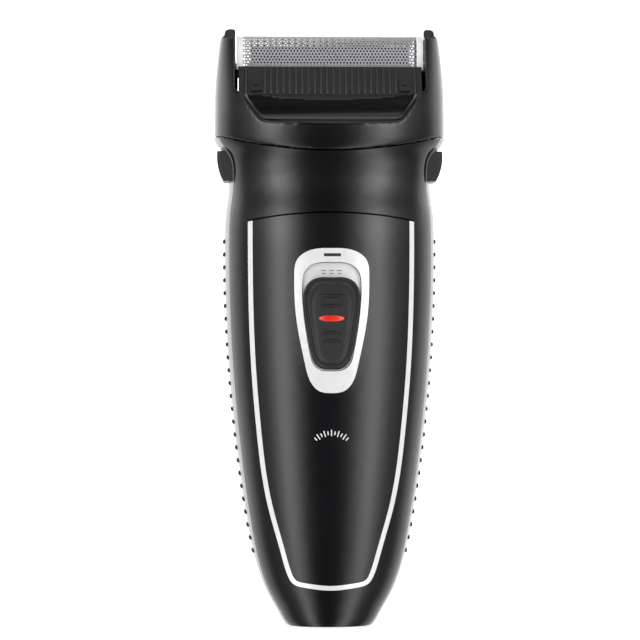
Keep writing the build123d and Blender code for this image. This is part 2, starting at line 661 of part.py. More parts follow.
with BuildPart() as housing_screws:
    for x, z in BOSS_PLACES:
        seat = back_at(z, x) - SCREW_SINK
        add(rod(x, z, SCREW_RADIUS, SCREW_TIP, seat))
        add(rod(x, z, SCREW_HEAD_RADIUS, seat, seat + SCREW_HEAD))
        cross = SCREW_HEAD_RADIUS * 0.6
        top, deep = seat + SCREW_HEAD, seat + SCREW_HEAD / 2
        add(block(x - cross, x + cross, deep, top, z - FIT * 2, z + FIT * 2), mode=Mode.SUBTRACT)
        add(block(x - FIT * 2, x + FIT * 2, deep, top, z - cross, z + cross), mode=Mode.SUBTRACT)
save(housing_screws, "housing_screws")

# ---------------------------------------------------------------- release buttons

for side, name in ((-1, "release_button_left"), (1, "release_button_right")):
    with BuildPart() as release_button:
        centre_x, centre_z = BUTTON_CENTRE
        low_x = centre_x + (BUTTON_RADIUS**2 - (centre_z - BUTTON_LOW) ** 2) ** 0.5
        high_x = centre_x + (BUTTON_RADIUS**2 - (BUTTON_HIGH - centre_z) ** 2) ** 0.5
        with BuildSketch(Plane.XZ):
            with BuildLine():
                RadiusArc((side * low_x, BUTTON_LOW), (side * high_x, BUTTON_HIGH), -side * BUTTON_RADIUS)
                Polyline(
                    (side * high_x, BUTTON_HIGH),
                    (side * BUTTON_INNER, BUTTON_HIGH),
                    (side * BUTTON_INNER, BUTTON_LOW),
                    (side * low_x, BUTTON_LOW),
                )
            make_face()
        extrude(amount=BUTTON_HALF, both=True)
        outer_edges = release_button.edges().filter_by(GeomType.CIRCLE)
        fillet(outer_edges, BUTTON_SOFT)
        inner, outer = sorted((side * BUTTON_INNER, side * (BUTTON_INNER + FLANGE_THICK)))
        flange_low, flange_high = BUTTON_LOW - FLANGE_RISE, BUTTON_HIGH + FLANGE_RISE
        add(block(inner, outer, -FLANGE_HALF, FLANGE_HALF, flange_low, flange_high))
    save(release_button, name)

    with BuildPart() as release_spring:
        length = BUTTON_INNER - BUTTON_SPRING_SEAT
        with Locations(Plane((side * BUTTON_SPRING_SEAT, 0, BUTTON_SPRING_HEIGHT), z_dir=(side, 0, 0))):
            add(coil(length, *BUTTON_COIL))
    save(release_spring, name.replace("button", "spring"))

# ---------------------------------------------------------------- deck over the handle

with BuildPart() as top_deck:
    add(body(-WALL - FIT, 0, HANDLE_REACH))
    add(block(-DECK_HALF, DECK_HALF, -FAR, FAR, DECK_LOW, DECK_HIGH), mode=Mode.INTERSECT)
    for side in (-1, 1):
        inner, outer = sorted((side * (BUTTON_SPRING_SEAT - DECK_RIB_THICK), side * BUTTON_SPRING_SEAT))
        rib_low = BUTTON_SPRING_HEIGHT - DECK_RIB_DROP
        add(block(inner, outer, -DECK_RIB_HALF, DECK_RIB_HALF, rib_low, DECK_LOW))
    with BuildSketch():
        SlotOverall(2 * (POST_RADIUS + STROKE + SLOT_PLAY), 2 * (POST_RADIUS + SLOT_PLAY))
    extrude(amount=HANDLE_REACH, mode=Mode.SUBTRACT)
save(top_deck, "top_deck")

with BuildPart() as deck_seal:
    with BuildSketch(Plane.XY.offset(DECK_HIGH)):
        SlotOverall(2 * (POST_RADIUS + STROKE + SEAL_MARGIN), 2 * (POST_RADIUS + SEAL_MARGIN))
    extrude(amount=SEAL_TALL, taper=SEAL_TAPER)
    with BuildSketch(Plane.XY.offset(DECK_HIGH)):
        SlotOverall(2 * (POST_RADIUS + STROKE + SLOT_PLAY), 2 * (POST_RADIUS + SLOT_PLAY))
    extrude(amount=FAR, mode=Mode.SUBTRACT)
save(deck_seal, "deck_seal")

# ---------------------------------------------------------------- lift-off head

with BuildPart() as scoop:
    with BuildSketch(Plane.XZ):
        with BuildLine():
            Spline(*SCOOP_OUTLINE)
            Spline(*[(-x, z) for x, z in SCOOP_OUTLINE])
            Line(SCOOP_OUTLINE[0], (-SCOOP_OUTLINE[0][0], SCOOP_OUTLINE[0][1]))
            Line(SCOOP_OUTLINE[-1], (-SCOOP_OUTLINE[-1][0], SCOOP_OUTLINE[-1][1]))
        make_face()
    extrude(amount=FAR, both=True)
    with BuildSketch(Plane.YZ):
        with BuildLine():
            middle, top = ((-depth, height) for depth, height in (SCOOP_MIDDLE, SCOOP_TOP))
            ThreePointArc((-LIP_DEPTH, LIP_HEIGHT), middle, top)
            Line(top, (-SCOOP_TOP[0], FAR + EAR_TOP))
            Line((-SCOOP_TOP[0], FAR + EAR_TOP), (SCOOP_TOP[0], FAR + EAR_TOP))
            Line((SCOOP_TOP[0], FAR + EAR_TOP), SCOOP_TOP)
            ThreePointArc(SCOOP_TOP, SCOOP_MIDDLE, (LIP_DEPTH, LIP_HEIGHT))
            Polyline(
                (LIP_DEPTH, LIP_HEIGHT),
                (LIP_DEPTH, HEAD_REACH),
                (-LIP_DEPTH, HEAD_REACH),
                (-LIP_DEPTH, LIP_HEIGHT),
            )
        make_face()
    extrude(amount=FAR, both=True, mode=Mode.SUBTRACT)

with BuildPart() as between_ears:
    with BuildSketch(Plane.XZ):
        with BuildLine():
            ThreePointArc((-RIM_HALF, RIM_SIDE), (0, RIM_MIDDLE), (RIM_HALF, RIM_SIDE))
            Polyline(
                (RIM_HALF, RIM_SIDE),
                (EAR_INNER, RIM_SIDE + 1),
                (EAR_INNER, EAR_TOP + 5),
                (-EAR_INNER, EAR_TOP + 5),
                (-EAR_INNER, RIM_SIDE + 1),
                (-RIM_HALF, RIM_SIDE),
            )
        make_face()
    extrude(amount=FAR, both=True)

with BuildPart() as ear_arch:
    with BuildSketch(Plane.YZ):
        with BuildLine():
            Polyline(
                (-EAR_DEPTH, EAR_TOP - EAR_ROUND),
                (-FAR, PARTING_SIDE),
                (-FAR, HEAD_REACH),
                (FAR, HEAD_REACH),
                (FAR, PARTING_SIDE),
                (EAR_DEPTH, EAR_TOP - EAR_ROUND),
            )
            RadiusArc((EAR_DEPTH, EAR_TOP - EAR_ROUND), (EAR_DEPTH - EAR_ROUND, EAR_TOP), -EAR_ROUND)
            Line((EAR_DEPTH - EAR_ROUND, EAR_TOP), (EAR_ROUND - EAR_DEPTH, EAR_TOP))
            RadiusArc((EAR_ROUND - EAR_DEPTH, EAR_TOP), (-EAR_DEPTH, EAR_TOP - EAR_ROUND), -EAR_ROUND)
        make_face()
    extrude(amount=FAR, both=True)

HEAD_LOWER = body(-HEAD_WALL, HEAD_REACH, HEAD_REACH + 15, HEAD_STEP)
with BuildPart() as head_hollow:
    add(HEAD_LOWER)
    add(block(-FAR, FAR, -FAR, FAR, 0, SHELF_LOW), mode=Mode.INTERSECT)

with BuildPart() as head_frame:
    add(body(0, HEAD_REACH, 150, HEAD_STEP))
    add(parting_form(2 * EAR_TOP, PARTING_GAP), mode=Mode.INTERSECT)
    add(ear_arch.part, mode=Mode.INTERSECT)
    add(between_ears.part, mode=Mode.SUBTRACT)
    add(scoop.part, mode=Mode.SUBTRACT)
    add(head_hollow.part, mode=Mode.SUBTRACT)
    add(block(-PASS_HALF, PASS_HALF, -PASS_DEPTH, PASS_DEPTH, SHELF_LOW - 1, EAR_TOP), mode=Mode.SUBTRACT)
    add(block(-WELL_HALF, WELL_HALF, -WELL_DEPTH, WELL_DEPTH, SHELF_HIGH, EAR_TOP), mode=Mode.SUBTRACT)
    add(
        block(-WELL_HALF, WELL_HALF, -WELL_UPPER_DEPTH, WELL_UPPER_DEPTH, WELL_STEP, EAR_TOP),
        mode=Mode.SUBTRACT,
    )
    for side in (-1, 1):
        for depth in (-1, 1):
            x_from, x_to = sorted((side * TONGUE_INNER, side * TONGUE_OUTER))
            y_from, y_to = sorted((depth * TONGUE_NEAR, depth * TONGUE_FAR))
            add(block(x_from, x_to, y_from, y_to, TONGUE_LOW, SHELF_HIGH))
save(head_frame, "head_frame")

# ---------------------------------------------------------------- foil and its frame

with BuildPart() as foil_frame:
    with BuildSketch(Plane.YZ):
        with BuildLine():
            Polyline(
                (-FRAME_FOOT, FRAME_LOW),
                (FRAME_FOOT, FRAME_LOW),
                (FRAME_BROW, FRAME_HIGH),
                (-FRAME_BROW, FRAME_HIGH),
                (-FRAME_FOOT, FRAME_LOW),
            )
        make_face()
    extrude(amount=FRAME_HALF, both=True)
    void = FRAME_VOID_HALF, FRAME_VOID_DEPTH
    add(block(-void[0], void[0], -void[1], void[1], FRAME_LOW - 1, FRAME_HIGH + 1), mode=Mode.SUBTRACT)
    add(block(-FAR, FAR, -void[1], void[1], FOIL_EDGE - FIT, FRAME_HIGH + 1), mode=Mode.SUBTRACT)
save(foil_frame, "foil_frame")

FRAME_SLOPE = (FRAME_FOOT - FRAME_BROW) / (FRAME_HIGH - FRAME_LOW)
with BuildPart() as foil_tabs:
    for depth in (-1, 1):
        face_y = FRAME_FOOT - FRAME_SLOPE * (TAB_HEIGHT - FRAME_LOW)
        for side in (-1, 1):
            outwards = (0, depth, FRAME_SLOPE)
            place = Plane((side * TAB_X, depth * face_y, TAB_HEIGHT), x_dir=(1, 0, 0), z_dir=outwards)
            with BuildSketch(place):
                Rectangle(TAB_WIDE, TAB_TALL)
            extrude(amount=TAB_THICK)
            with BuildSketch(place):
                Circle(TAB_BOSS_RADIUS)
            extrude(amount=TAB_BOSS_THICK)
save(foil_tabs, "foil_tabs")

with BuildPart() as foil_mesh:
    with BuildSketch(Plane.YZ):
        with BuildLine():
            for radius in (FOIL_RADIUS, FOIL_RADIUS - FOIL_SHEET):
                ThreePointArc((-radius, FOIL_CENTRE), (0, FOIL_CENTRE + radius), (radius, FOIL_CENTRE))
                Line((-radius, FOIL_CENTRE), (-radius, FOIL_EDGE))
                Line((radius, FOIL_CENTRE), (radius, FOIL_EDGE))
            for depth in (-1, 1):
                Line((depth * FOIL_RADIUS, FOIL_EDGE), (depth * (FOIL_RADIUS - FOIL_SHEET), FOIL_EDGE))
        make_face()
    extrude(amount=FOIL_HALF_LENGTH, both=True)
save(foil_mesh, "foil_mesh")

with BuildPart() as foil_springs:
    with GridLocations(2 * FOIL_SPRING_X, 2 * FOIL_SPRING_Y, 2, 2):
        with Locations((0, 0, SHELF_HIGH)):
            add(coil(FRAME_LOW - SHELF_HIGH, *FOIL_COIL))
save(foil_springs, "foil_springs")

# ---------------------------------------------------------------- inner cutter

with BuildPart() as cutter_carrier:
    add(block(-CARRIER_HALF, CARRIER_HALF, -CARRIER_DEPTH, CARRIER_DEPTH, CARRIER_LOW, CARRIER_HIGH))
    with BuildSketch(Plane.XY.offset(CARRIER_LOW)):
        Circle(SOCKET_RADIUS)
    extrude(amount=SOCKET_TOP - CARRIER_LOW, mode=Mode.SUBTRACT)
    for side in (-1, 1):
        inner, outer = sorted((side * COLLAR_RADIUS, side * (CARRIER_HALF - CARRIER_WALL)))
        depth = CARRIER_DEPTH - CARRIER_WALL
        add(block(inner, outer, -depth, depth, CARRIER_LOW, SOCKET_TOP), mode=Mode.SUBTRACT)
    groove = block(-CARRIER_HALF, CARRIER_HALF, -SPINE_DEPTH, SPINE_DEPTH, SPINE_LOW, CARRIER_HIGH)
    add(groove, mode=Mode.SUBTRACT)
save(cutter_carrier, "cutter_carrier")

with BuildPart() as cutter_blades:
    for k in range(BLADE_COUNT):
        x = (k - (BLADE_COUNT - 1) / 2) * BLADE_PITCH
        with BuildSketch(Plane.YZ.offset(x - BLADE_THICK / 2)):
            with Locations((0, FOIL_CENTRE)):
                Circle(BLADE_RADIUS)
            with Locations((0, CARRIER_HIGH)):
                Rectangle(4 * BLADE_RADIUS, FAR, align=(Align.CENTER, Align.MAX), mode=Mode.SUBTRACT)
        extrude(amount=BLADE_THICK)
    spine = BLADE_PITCH * (BLADE_COUNT - 1) / 2 + BLADE_THICK / 2
    add(block(-spine, spine, -SPINE_DEPTH, SPINE_DEPTH, SPINE_LOW, SPINE_HIGH))
save(cutter_blades, "cutter_blades")

with BuildPart() as cutter_spring:
    with Locations((0, 0, COLLAR_HIGH)):
        add(coil(CARRIER_LOW - COLLAR_HIGH, *CUTTER_COIL))
save(cutter_spring, "cutter_spring")

with BuildPart() as drive_bridge:
    add(block(-BRIDGE_HALF, BRIDGE_HALF, -BRIDGE_DEPTH, BRIDGE_DEPTH, BRIDGE_LOW, BRIDGE_HIGH))
    for side in (-1, 1):
        inner, outer = sorted((side * FORK_INNER, side * FORK_OUTER))
        add(block(inner, outer, -ECCENTRIC_RADIUS, ECCENTRIC_RADIUS, FORK_LOW, BRIDGE_LOW))
    with BuildSketch(Plane.XY.offset(BRIDGE_HIGH)):
        Circle(POST_RADIUS)
    extrude(amount=POST_TOP - BRIDGE_HIGH)
    with BuildSketch(Plane.XY.offset(COLLAR_LOW)):
        Circle(COLLAR_RADIUS)
    extrude(amount=COLLAR_HIGH - COLLAR_LOW)
save(drive_bridge, "drive_bridge")

# ---------------------------------------------------------------- motor and crank

with BuildPart() as eccentric:
    with BuildSketch(Plane.XY.offset(ECCENTRIC_LOW)):
        Circle(ECCENTRIC_RADIUS)
        Circle(SHAFT_RADIUS, mode=Mode.SUBTRACT)
    extrude(amount=ECCENTRIC_HIGH - ECCENTRIC_LOW)
    with BuildSketch(Plane.XY.offset(SHAFT_TOP)):
        Circle(ECCENTRIC_RADIUS)
    extrude(amount=ECCENTRIC_HIGH - SHAFT_TOP)
    with BuildSketch(Plane.XY.offset(ECCENTRIC_HIGH)):
        with Locations((ECCENTRIC_THROW, 0)):
            Circle(CRANK_PIN_RADIUS)
    extrude(amount=CRANK_PIN_TOP - ECCENTRIC_HIGH)
    lower_rim = eccentric.edges().filter_by(GeomType.CIRCLE).group_by(Axis.Z)[0].sort_by(SortBy.RADIUS)[-1]
    fillet(lower_rim, EDGE_BREAK)
save(eccentric, "eccentric")

with BuildPart() as motor_shaft:
    with BuildSketch(Plane.XY.offset(MOTOR_HIGH)):
        Circle(SHAFT_RADIUS)
    extrude(amount=SHAFT_TOP - MOTOR_HIGH)
save(motor_shaft, "motor_shaft")

MOTOR_PIECES = (
    ("motor_can", MOTOR_LOW, MOTOR_HIGH),
    ("motor_cap", MOTOR_LOW - CAP_TALL, MOTOR_LOW),
)
for name, low, high in MOTOR_PIECES:
    with BuildPart() as motor_piece:
        with BuildSketch(Plane.XY.offset(low)):
            Circle(MOTOR_RADIUS)
            Rectangle(2 * MOTOR_RADIUS, 2 * MOTOR_FLAT, mode=Mode.INTERSECT)
        extrude(amount=high - low)
        chamfer(motor_piece.edges().group_by(Axis.Z)[0], EDGE_BREAK)
    save(motor_piece, name)

with BuildPart() as motor_mount:
    add(HANDLE_INNER)
    add(block(-FAR, FAR, -MOUNT_DEPTH, MOUNT_DEPTH, MOUNT_LOW, MOUNT_HIGH), mode=Mode.INTERSECT)
    for depth in (-1, 1):
        near, far = sorted((depth * RAIL_NEAR, depth * RAIL_FAR))
        add(block(-BRIDGE_HALF, BRIDGE_HALF, near, far, MOUNT_HIGH, RAIL_HIGH))
        near, far = sorted((depth * (RAIL_NEAR - RAIL_LIP_REACH), depth * RAIL_FAR))
        add(block(-BRIDGE_HALF, BRIDGE_HALF, near, far, RAIL_LIP_LOW, RAIL_HIGH))
    with BuildSketch(Plane.XY.offset(MOUNT_LOW)):
        Circle(3 * SHAFT_RADIUS)
    extrude(amount=MOUNT_HIGH - MOUNT_LOW, mode=Mode.SUBTRACT)
save(motor_mount, "motor_mount")

# ---------------------------------------------------------------- battery and electronics

with BuildPart() as battery_cell:
    with BuildSketch(Plane.XY.offset(BATTERY_LOW)):
        with Locations((0, BATTERY_Y)):
            Circle(BATTERY_RADIUS)
    extrude(amount=BATTERY_HIGH - BATTERY_LOW)
    fillet(battery_cell.edges().filter_by(GeomType.CIRCLE), BATTERY_ROUND)
save(battery_cell, "battery_cell")

with BuildPart() as battery_tabs:
    for low in (BATTERY_LOW - SOLDER_SHEET, BATTERY_HIGH):
        with BuildSketch(Plane.XY.offset(low)):
            with Locations((0, BATTERY_Y)):
                Circle(BATTERY_RADIUS * 0.6)
            with Locations((0, BATTERY_Y)):
                strip = BATTERY_Y - BOARD_BACK - FIT
                Rectangle(2 * SOLDER_HALF, strip, align=(Align.CENTER, Align.MAX))
        extrude(amount=SOLDER_SHEET)
    near, low, high = BOARD_BACK + FIT, BATTERY_LOW - SOLDER_SHEET, BOARD_LOW + SOLDER_HALF
    add(block(-SOLDER_HALF, SOLDER_HALF, near, near + SOLDER_SHEET, low, high))
save(battery_tabs, "battery_tabs")

with BuildPart() as circuit_board:
    add(block(-BOARD_HALF, BOARD_HALF, BOARD_FRONT, BOARD_BACK, BOARD_LOW, BOARD_HIGH))
    fillet(circuit_board.edges().filter_by(Axis.Y), BOARD_ROUND)
save(circuit_board, "circuit_board")

with BuildPart() as switch_contacts:
    low, high = STEM_LOW - CONTACT_MARGIN, STEM_HIGH + SWITCH_TRAVEL + CONTACT_MARGIN
    add(block(-CONTACT_HALF, CONTACT_HALF, BOARD_FRONT - CONTACT_THICK, BOARD_FRONT, low, high))
save(switch_contacts, "switch_contacts")

with BuildPart() as charge_light:
    front, lamp = GUIDE_SINK - station_at(GUIDE_HEIGHT)[1], BOARD_FRONT - LIGHT_THICK
    add(rod(0, GUIDE_HEIGHT, GUIDE_RADIUS, front, lamp))
    low, high = GUIDE_HEIGHT - LIGHT_HALF_HIGH, GUIDE_HEIGHT + LIGHT_HALF_HIGH
    add(block(-LIGHT_HALF_WIDE, LIGHT_HALF_WIDE, lamp, BOARD_FRONT, low, high))
save(charge_light, "charge_light")

with BuildPart() as charge_inlet:
    add(inlet_form.part)
    with BuildSketch(Plane.XY.offset(INLET_FLANGE_LOW)):
        SlotOverall(2 * (INLET_HALF + INLET_FLANGE), 2 * (INLET_DEPTH + INLET_FLANGE))
    extrude(amount=INLET_FLANGE_HIGH - INLET_FLANGE_LOW)
    with BuildSketch():
        SlotOverall(2 * SOCKET_HALF, 2 * SOCKET_DEPTH)
    extrude(amount=SOCKET_FLOOR, mode=Mode.SUBTRACT)
    with BuildSketch(Plane.XY.offset(SOCKET_FLOOR)):
        with GridLocations(2 * INLET_PIN_X, 0, 2, 1):
            Circle(INLET_PIN_RADIUS)
    extrude(amount=INLET_TALL - SOCKET_FLOOR, mode=Mode.SUBTRACT)
save(charge_inlet, "charge_inlet")

with BuildPart() as inlet_pins:
    with BuildSketch(Plane.XY.offset(INLET_PIN_LOW)):
        with GridLocations(2 * INLET_PIN_X, 0, 2, 1):
            Circle(INLET_PIN_RADIUS)
    extrude(amount=INLET_PIN_HIGH - INLET_PIN_LOW)
    fillet(inlet_pins.edges().group_by(Axis.Z)[0], EDGE_BREAK)
save(inlet_pins, "inlet_pins")

# ---------------------------------------------------------------- swing-out trimmer

with BuildPart() as trimmer_carrier:
    add(body(0, *TRIMMER_REACH))
    with BuildSketch(Plane.YZ):
        with BuildLine():
            Polyline(
                (TRIMMER_FLOOR, HINGE_Z),
                (TRIMMER_FLOOR, TRIMMER_HIGH),
                (FAR, TRIMMER_HIGH),
                (FAR, HINGE_Z),
                (TRIMMER_FLOOR, HINGE_Z),
            )
        make_face()
        with Locations((HINGE_Y, HINGE_Z)):
            Circle(HINGE_RADIUS)
    extrude(amount=TRIMMER_HALF, both=True, mode=Mode.INTERSECT)
    half = TRIMMER_SLOT_HALF
    add(
        block(-half, half, TRIMMER_SLOT_NEAR, TRIMMER_SLOT_FAR, TRIMMER_SLOT_LOW, TRIMMER_HIGH + 1),
        mode=Mode.SUBTRACT,
    )
    with BuildSketch(Plane.YZ):
        with Locations((HINGE_Y, HINGE_Z)):
            Circle(HINGE_PIN_RADIUS + FIT / 2)
    extrude(amount=TRIMMER_HALF, both=True, mode=Mode.SUBTRACT)
    reach = HINGE_RADIUS + FIT
    low, high = HINGE_Z - reach, HINGE_Z + reach
    add(block(NOTCH_FROM, NOTCH_TO, HINGE_Y - reach, HINGE_Y + NOTCH_TOP, low, high), mode=Mode.SUBTRACT)
save(trimmer_carrier, "trimmer_carrier")

TRIMMER_PLATES = (
    ("trimmer_comb", COMB_HALF, COMB_LOW, COMB_HIGH, COMB_NEAR, COMB_FAR),
    ("trimmer_blade", CUTTER_HALF, CUTTER_LOW, CUTTER_HIGH, CUTTER_NEAR, CUTTER_FAR),
)
for name, half, low, high, near, far in TRIMMER_PLATES:
    with BuildPart() as trimmer_plate:
        with BuildSketch(Plane.XZ.offset(-far)):
            with Locations((0, (low + high) / 2)):
                Rectangle(2 * half, high - low)
            with Locations((0, high - TOOTH_DEEP / 2)):
                with GridLocations(TOOTH_PITCH, 0, round(2 * half / TOOTH_PITCH) - 1, 1):
                    Rectangle(TOOTH_GAP, TOOTH_DEEP, mode=Mode.SUBTRACT)
        extrude(amount=far - near)
    save(trimmer_plate, name)

with BuildPart() as trimmer_pin:
    with BuildSketch(Plane.YZ):
        with Locations((HINGE_Y, HINGE_Z)):
            Circle(HINGE_PIN_RADIUS)
    extrude(amount=HINGE_PIN_HALF, both=True)
save(trimmer_pin, "trimmer_pin")

with BuildPart() as trimmer_spring:
    with Locations(Plane((NOTCH_FROM + FIT, HINGE_Y, HINGE_Z), z_dir=(1, 0, 0))):
        add(coil(NOTCH_TO - NOTCH_FROM - 2 * FIT, *TRIMMER_COIL))
save(trimmer_spring, "trimmer_spring")

# ---------------------------------------------------------------- trimmer latch

LATCH_FLOOR = body(-LATCH_SINK, *LATCH_REACH)
with BuildPart() as latch_ridges:
    for k in range(LATCH_RIDGE_COUNT):
        low = LATCH_LOW + LATCH_RIDGE_FIRST + k * LATCH_RIDGE_PITCH - LATCH_RIDGE_THICK / 2
        add(block(-LATCH_RIDGE_HALF, LATCH_RIDGE_HALF, 0, FAR, low, low + LATCH_RIDGE_THICK))

with BuildPart() as latch_grip:
    add(body(LATCH_RIDGE, *LATCH_REACH))
    add(latch_ridges.part, mode=Mode.INTERSECT)
    add(LATCH_FLOOR, mode=Mode.SUBTRACT)

with BuildPart() as trimmer_latch:
    add(body(LATCH_PROUD, *LATCH_REACH))
    with BuildSketch(Plane.XZ):
        with Locations((0, (LATCH_LOW + LATCH_HIGH) / 2)):
            RectangleRounded(2 * LATCH_HALF, LATCH_HIGH - LATCH_LOW, LATCH_ROUND)
    extrude(amount=-FAR, mode=Mode.INTERSECT)
    add(LATCH_FLOOR, mode=Mode.SUBTRACT)
    add(latch_grip.part)
    half = LATCH_STEM_HALF
    stem_outer = station_at(LATCH_STEM_HIGH)[2]
    add(block(-half, half, LATCH_STEM_INNER, stem_outer, LATCH_STEM_LOW, LATCH_STEM_HIGH))
save(trimmer_latch, "trimmer_latch")
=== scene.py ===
"""Looks of the foil shaver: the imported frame, softened and detailed, in a pale studio."""

import json
from math import cos, hypot, pi, sin

import bmesh
import bpy
import numpy as np
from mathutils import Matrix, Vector


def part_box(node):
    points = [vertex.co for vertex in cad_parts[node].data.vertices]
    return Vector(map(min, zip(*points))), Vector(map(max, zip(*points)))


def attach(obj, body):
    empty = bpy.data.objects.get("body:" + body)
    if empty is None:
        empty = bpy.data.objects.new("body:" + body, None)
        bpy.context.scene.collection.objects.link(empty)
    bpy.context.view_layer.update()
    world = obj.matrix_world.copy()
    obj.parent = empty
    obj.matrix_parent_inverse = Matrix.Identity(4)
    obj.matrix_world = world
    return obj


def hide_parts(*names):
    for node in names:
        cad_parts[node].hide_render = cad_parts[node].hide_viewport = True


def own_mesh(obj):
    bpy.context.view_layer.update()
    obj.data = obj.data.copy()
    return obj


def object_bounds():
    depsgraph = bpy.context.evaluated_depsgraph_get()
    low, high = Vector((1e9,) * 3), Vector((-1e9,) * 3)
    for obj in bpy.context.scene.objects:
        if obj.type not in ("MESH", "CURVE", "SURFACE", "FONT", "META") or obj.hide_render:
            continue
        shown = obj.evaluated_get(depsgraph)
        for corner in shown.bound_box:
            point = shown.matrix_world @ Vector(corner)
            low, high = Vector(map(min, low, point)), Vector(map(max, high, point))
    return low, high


MM = 0.001
PER_METRE = 1000.0  # turns a size in millimetres into a texture scale

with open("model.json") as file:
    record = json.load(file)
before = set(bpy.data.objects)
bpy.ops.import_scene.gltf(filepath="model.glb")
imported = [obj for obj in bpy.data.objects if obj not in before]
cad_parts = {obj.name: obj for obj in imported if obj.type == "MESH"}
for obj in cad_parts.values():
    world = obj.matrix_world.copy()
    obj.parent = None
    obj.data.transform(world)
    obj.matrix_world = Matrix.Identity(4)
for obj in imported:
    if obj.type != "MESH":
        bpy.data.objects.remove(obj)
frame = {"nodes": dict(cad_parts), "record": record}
cad_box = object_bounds()

# ---------------------------------------------------------------- materials


def linear(hex_colour):
    """An sRGB hex colour as linear red, green, blue and alpha."""
    parts = [int(hex_colour[i : i + 2], 16) / 255 for i in (1, 3, 5)]
    return [c / 12.92 if c <= 0.04045 else ((c + 0.055) / 1.055) ** 2.4 for c in parts] + [1.0]


def add_node(tree, kind, settings=None, **links):
    """Adds a node, sets its inputs by name or number, and links the named ones to output sockets."""
    node = tree.nodes.new(kind)
    for key, value in (settings or {}).items():
        if key == "colours":
            for element, colour in zip(node.color_ramp.elements, value):
                element.color = linear(colour)
        elif hasattr(node, str(key)):
            setattr(node, key, value)
        else:
            node.inputs[key].default_value = value
    for key, socket in links.items():
        place = int(key[1:]) if key[0] == "_" and key[1:].isdigit() else key.replace("_", " ")
        tree.links.new(socket, node.inputs[place])
    return node


def new_material(name):
    """An empty node material with its Principled BSDF linked to the output, and Object coordinates."""
    material = bpy.data.materials.new(name)
    material.use_nodes = True
    tree = material.node_tree
    tree.nodes.clear()
    surface = add_node(tree, "ShaderNodeBsdfPrincipled")
    add_node(tree, "ShaderNodeOutputMaterial", Surface=surface.outputs[0])
    place = add_node(tree, "ShaderNodeTexCoord")
    return material, tree, surface, place.outputs["Object"]


NOISE, MATH = "ShaderNodeTexNoise", "ShaderNodeMath"
ABS_IOR, ACRYLIC_IOR = 1.53, 1.49
FLAKE_SIZE = 0.12  # aluminium flakes of the lacquer
WEAVE_PITCH, WAVE_LENGTHS = 0.9, 6.3  # threads of the glass cloth, and bands to a unit of scale
STREAK_STRETCH = (1.0, 12.0, 12.0)  # rolling lines run along X
STREAK_LENGTH = 8  # in grits


def grains(size_mm, detail):
    """The settings of a noise whose grains have a real size."""
    return {"Scale": PER_METRE / size_mm, "Detail": detail}


def dress(tree, surface, colour, roughness, relief=None, **plain):
    """Drives a surface's colour, roughness and relief by patterns, and sets its plain numbers."""
    pattern, dark, light = colour
    tones = add_node(tree, "ShaderNodeValToRGB", {"colours": (dark, light)}, Fac=pattern)
    tree.links.new(tones.outputs["Color"], surface.inputs["Base Color"])
    pattern, low, high = roughness
    haze = add_node(tree, "ShaderNodeMapRange", {"To Min": low, "To Max": high}, Value=pattern)
    tree.links.new(haze.outputs["Result"], surface.inputs["Roughness"])
    for name, value in plain.items():
        surface.inputs[name.replace("_", " ")].default_value = value
    if relief:
        pattern, depth_mm, strength = relief
        depth = {"Strength": strength, "Distance": depth_mm * MM}
        bump = add_node(tree, "ShaderNodeBump", depth, Height=pattern)
        tree.links.new(bump.outputs["Normal"], surface.inputs["Normal"])


def polished_abs(name, dark, light):
    """Injection-moulded ABS from a polished tool: deep gloss, faint flow waves and a fine haze."""
    material, tree, surface, where = new_material(name)
    cloud = add_node(tree, NOISE, grains(14.0, 2.0), Vector=where).outputs["Fac"]
    haze = add_node(tree, NOISE, grains(0.5, 4.0), Vector=where).outputs["Fac"]
    coat = {"Coat_Weight": 0.25, "Coat_Roughness": 0.05}
    colour, roughness, relief = (cloud, dark, light), (haze, 0.09, 0.17), (cloud, 0.012, 0.35)
    dress(tree, surface, colour, roughness, relief, IOR=ABS_IOR, **coat)
    return material


def spark_eroded_abs(name, dark, light, grain_mm=0.25):
    """Moulded plastic from a spark-eroded tool: a fine pebble grain that scatters the light."""
    material, tree, surface, where = new_material(name)
    grain = add_node(tree, NOISE, grains(grain_mm, 5.0), Vector=where).outputs["Fac"]
    cloud = add_node(tree, NOISE, grains(9.0, 2.0), Vector=where).outputs["Fac"]
    colour, roughness, relief = (cloud, dark, light), (grain, 0.32, 0.5), (grain, 0.02, 0.5)
    dress(tree, surface, colour, roughness, relief, IOR=ABS_IOR)
    return material


def metallised_abs(name, dark, light):
    """ABS sprayed with an aluminium-flake lacquer: satin silver with a fine glitter under clear coat."""
    material, tree, surface, where = new_material(name)
    flake = add_node(tree, "ShaderNodeTexVoronoi", {"Scale": PER_METRE / FLAKE_SIZE}, Vector=where)
    cloud = add_node(tree, NOISE, grains(11.0, 2.0), Vector=where).outputs["Fac"]
    mix = {"operation": "MULTIPLY_ADD", 1: 0.25}
    blend = add_node(tree, MATH, mix, _0=flake.outputs["Color"], _2=cloud)
    coat = {"Coat_Weight": 0.3, "Coat_Roughness": 0.12}
    colour, roughness = (blend.outputs[0], dark, light), (flake.outputs["Distance"], 0.28, 0.42)
    dress(tree, surface, colour, roughness, Metallic=0.55, **coat)
    return material


def chrome_plate(name, dark, light):
    """Bright chrome on ABS: a mirror with the faint orange peel of the moulding under it."""
    material, tree, surface, where = new_material(name)
    peel = add_node(tree, NOISE, grains(1.6, 2.0), Vector=where).outputs["Fac"]
    colour, roughness, relief = (peel, dark, light), (peel, 0.05, 0.11), (peel, 0.004, 0.3)
    dress(tree, surface, colour, roughness, relief, Metallic=0.2, Coat_Weight=0.8)
    return material


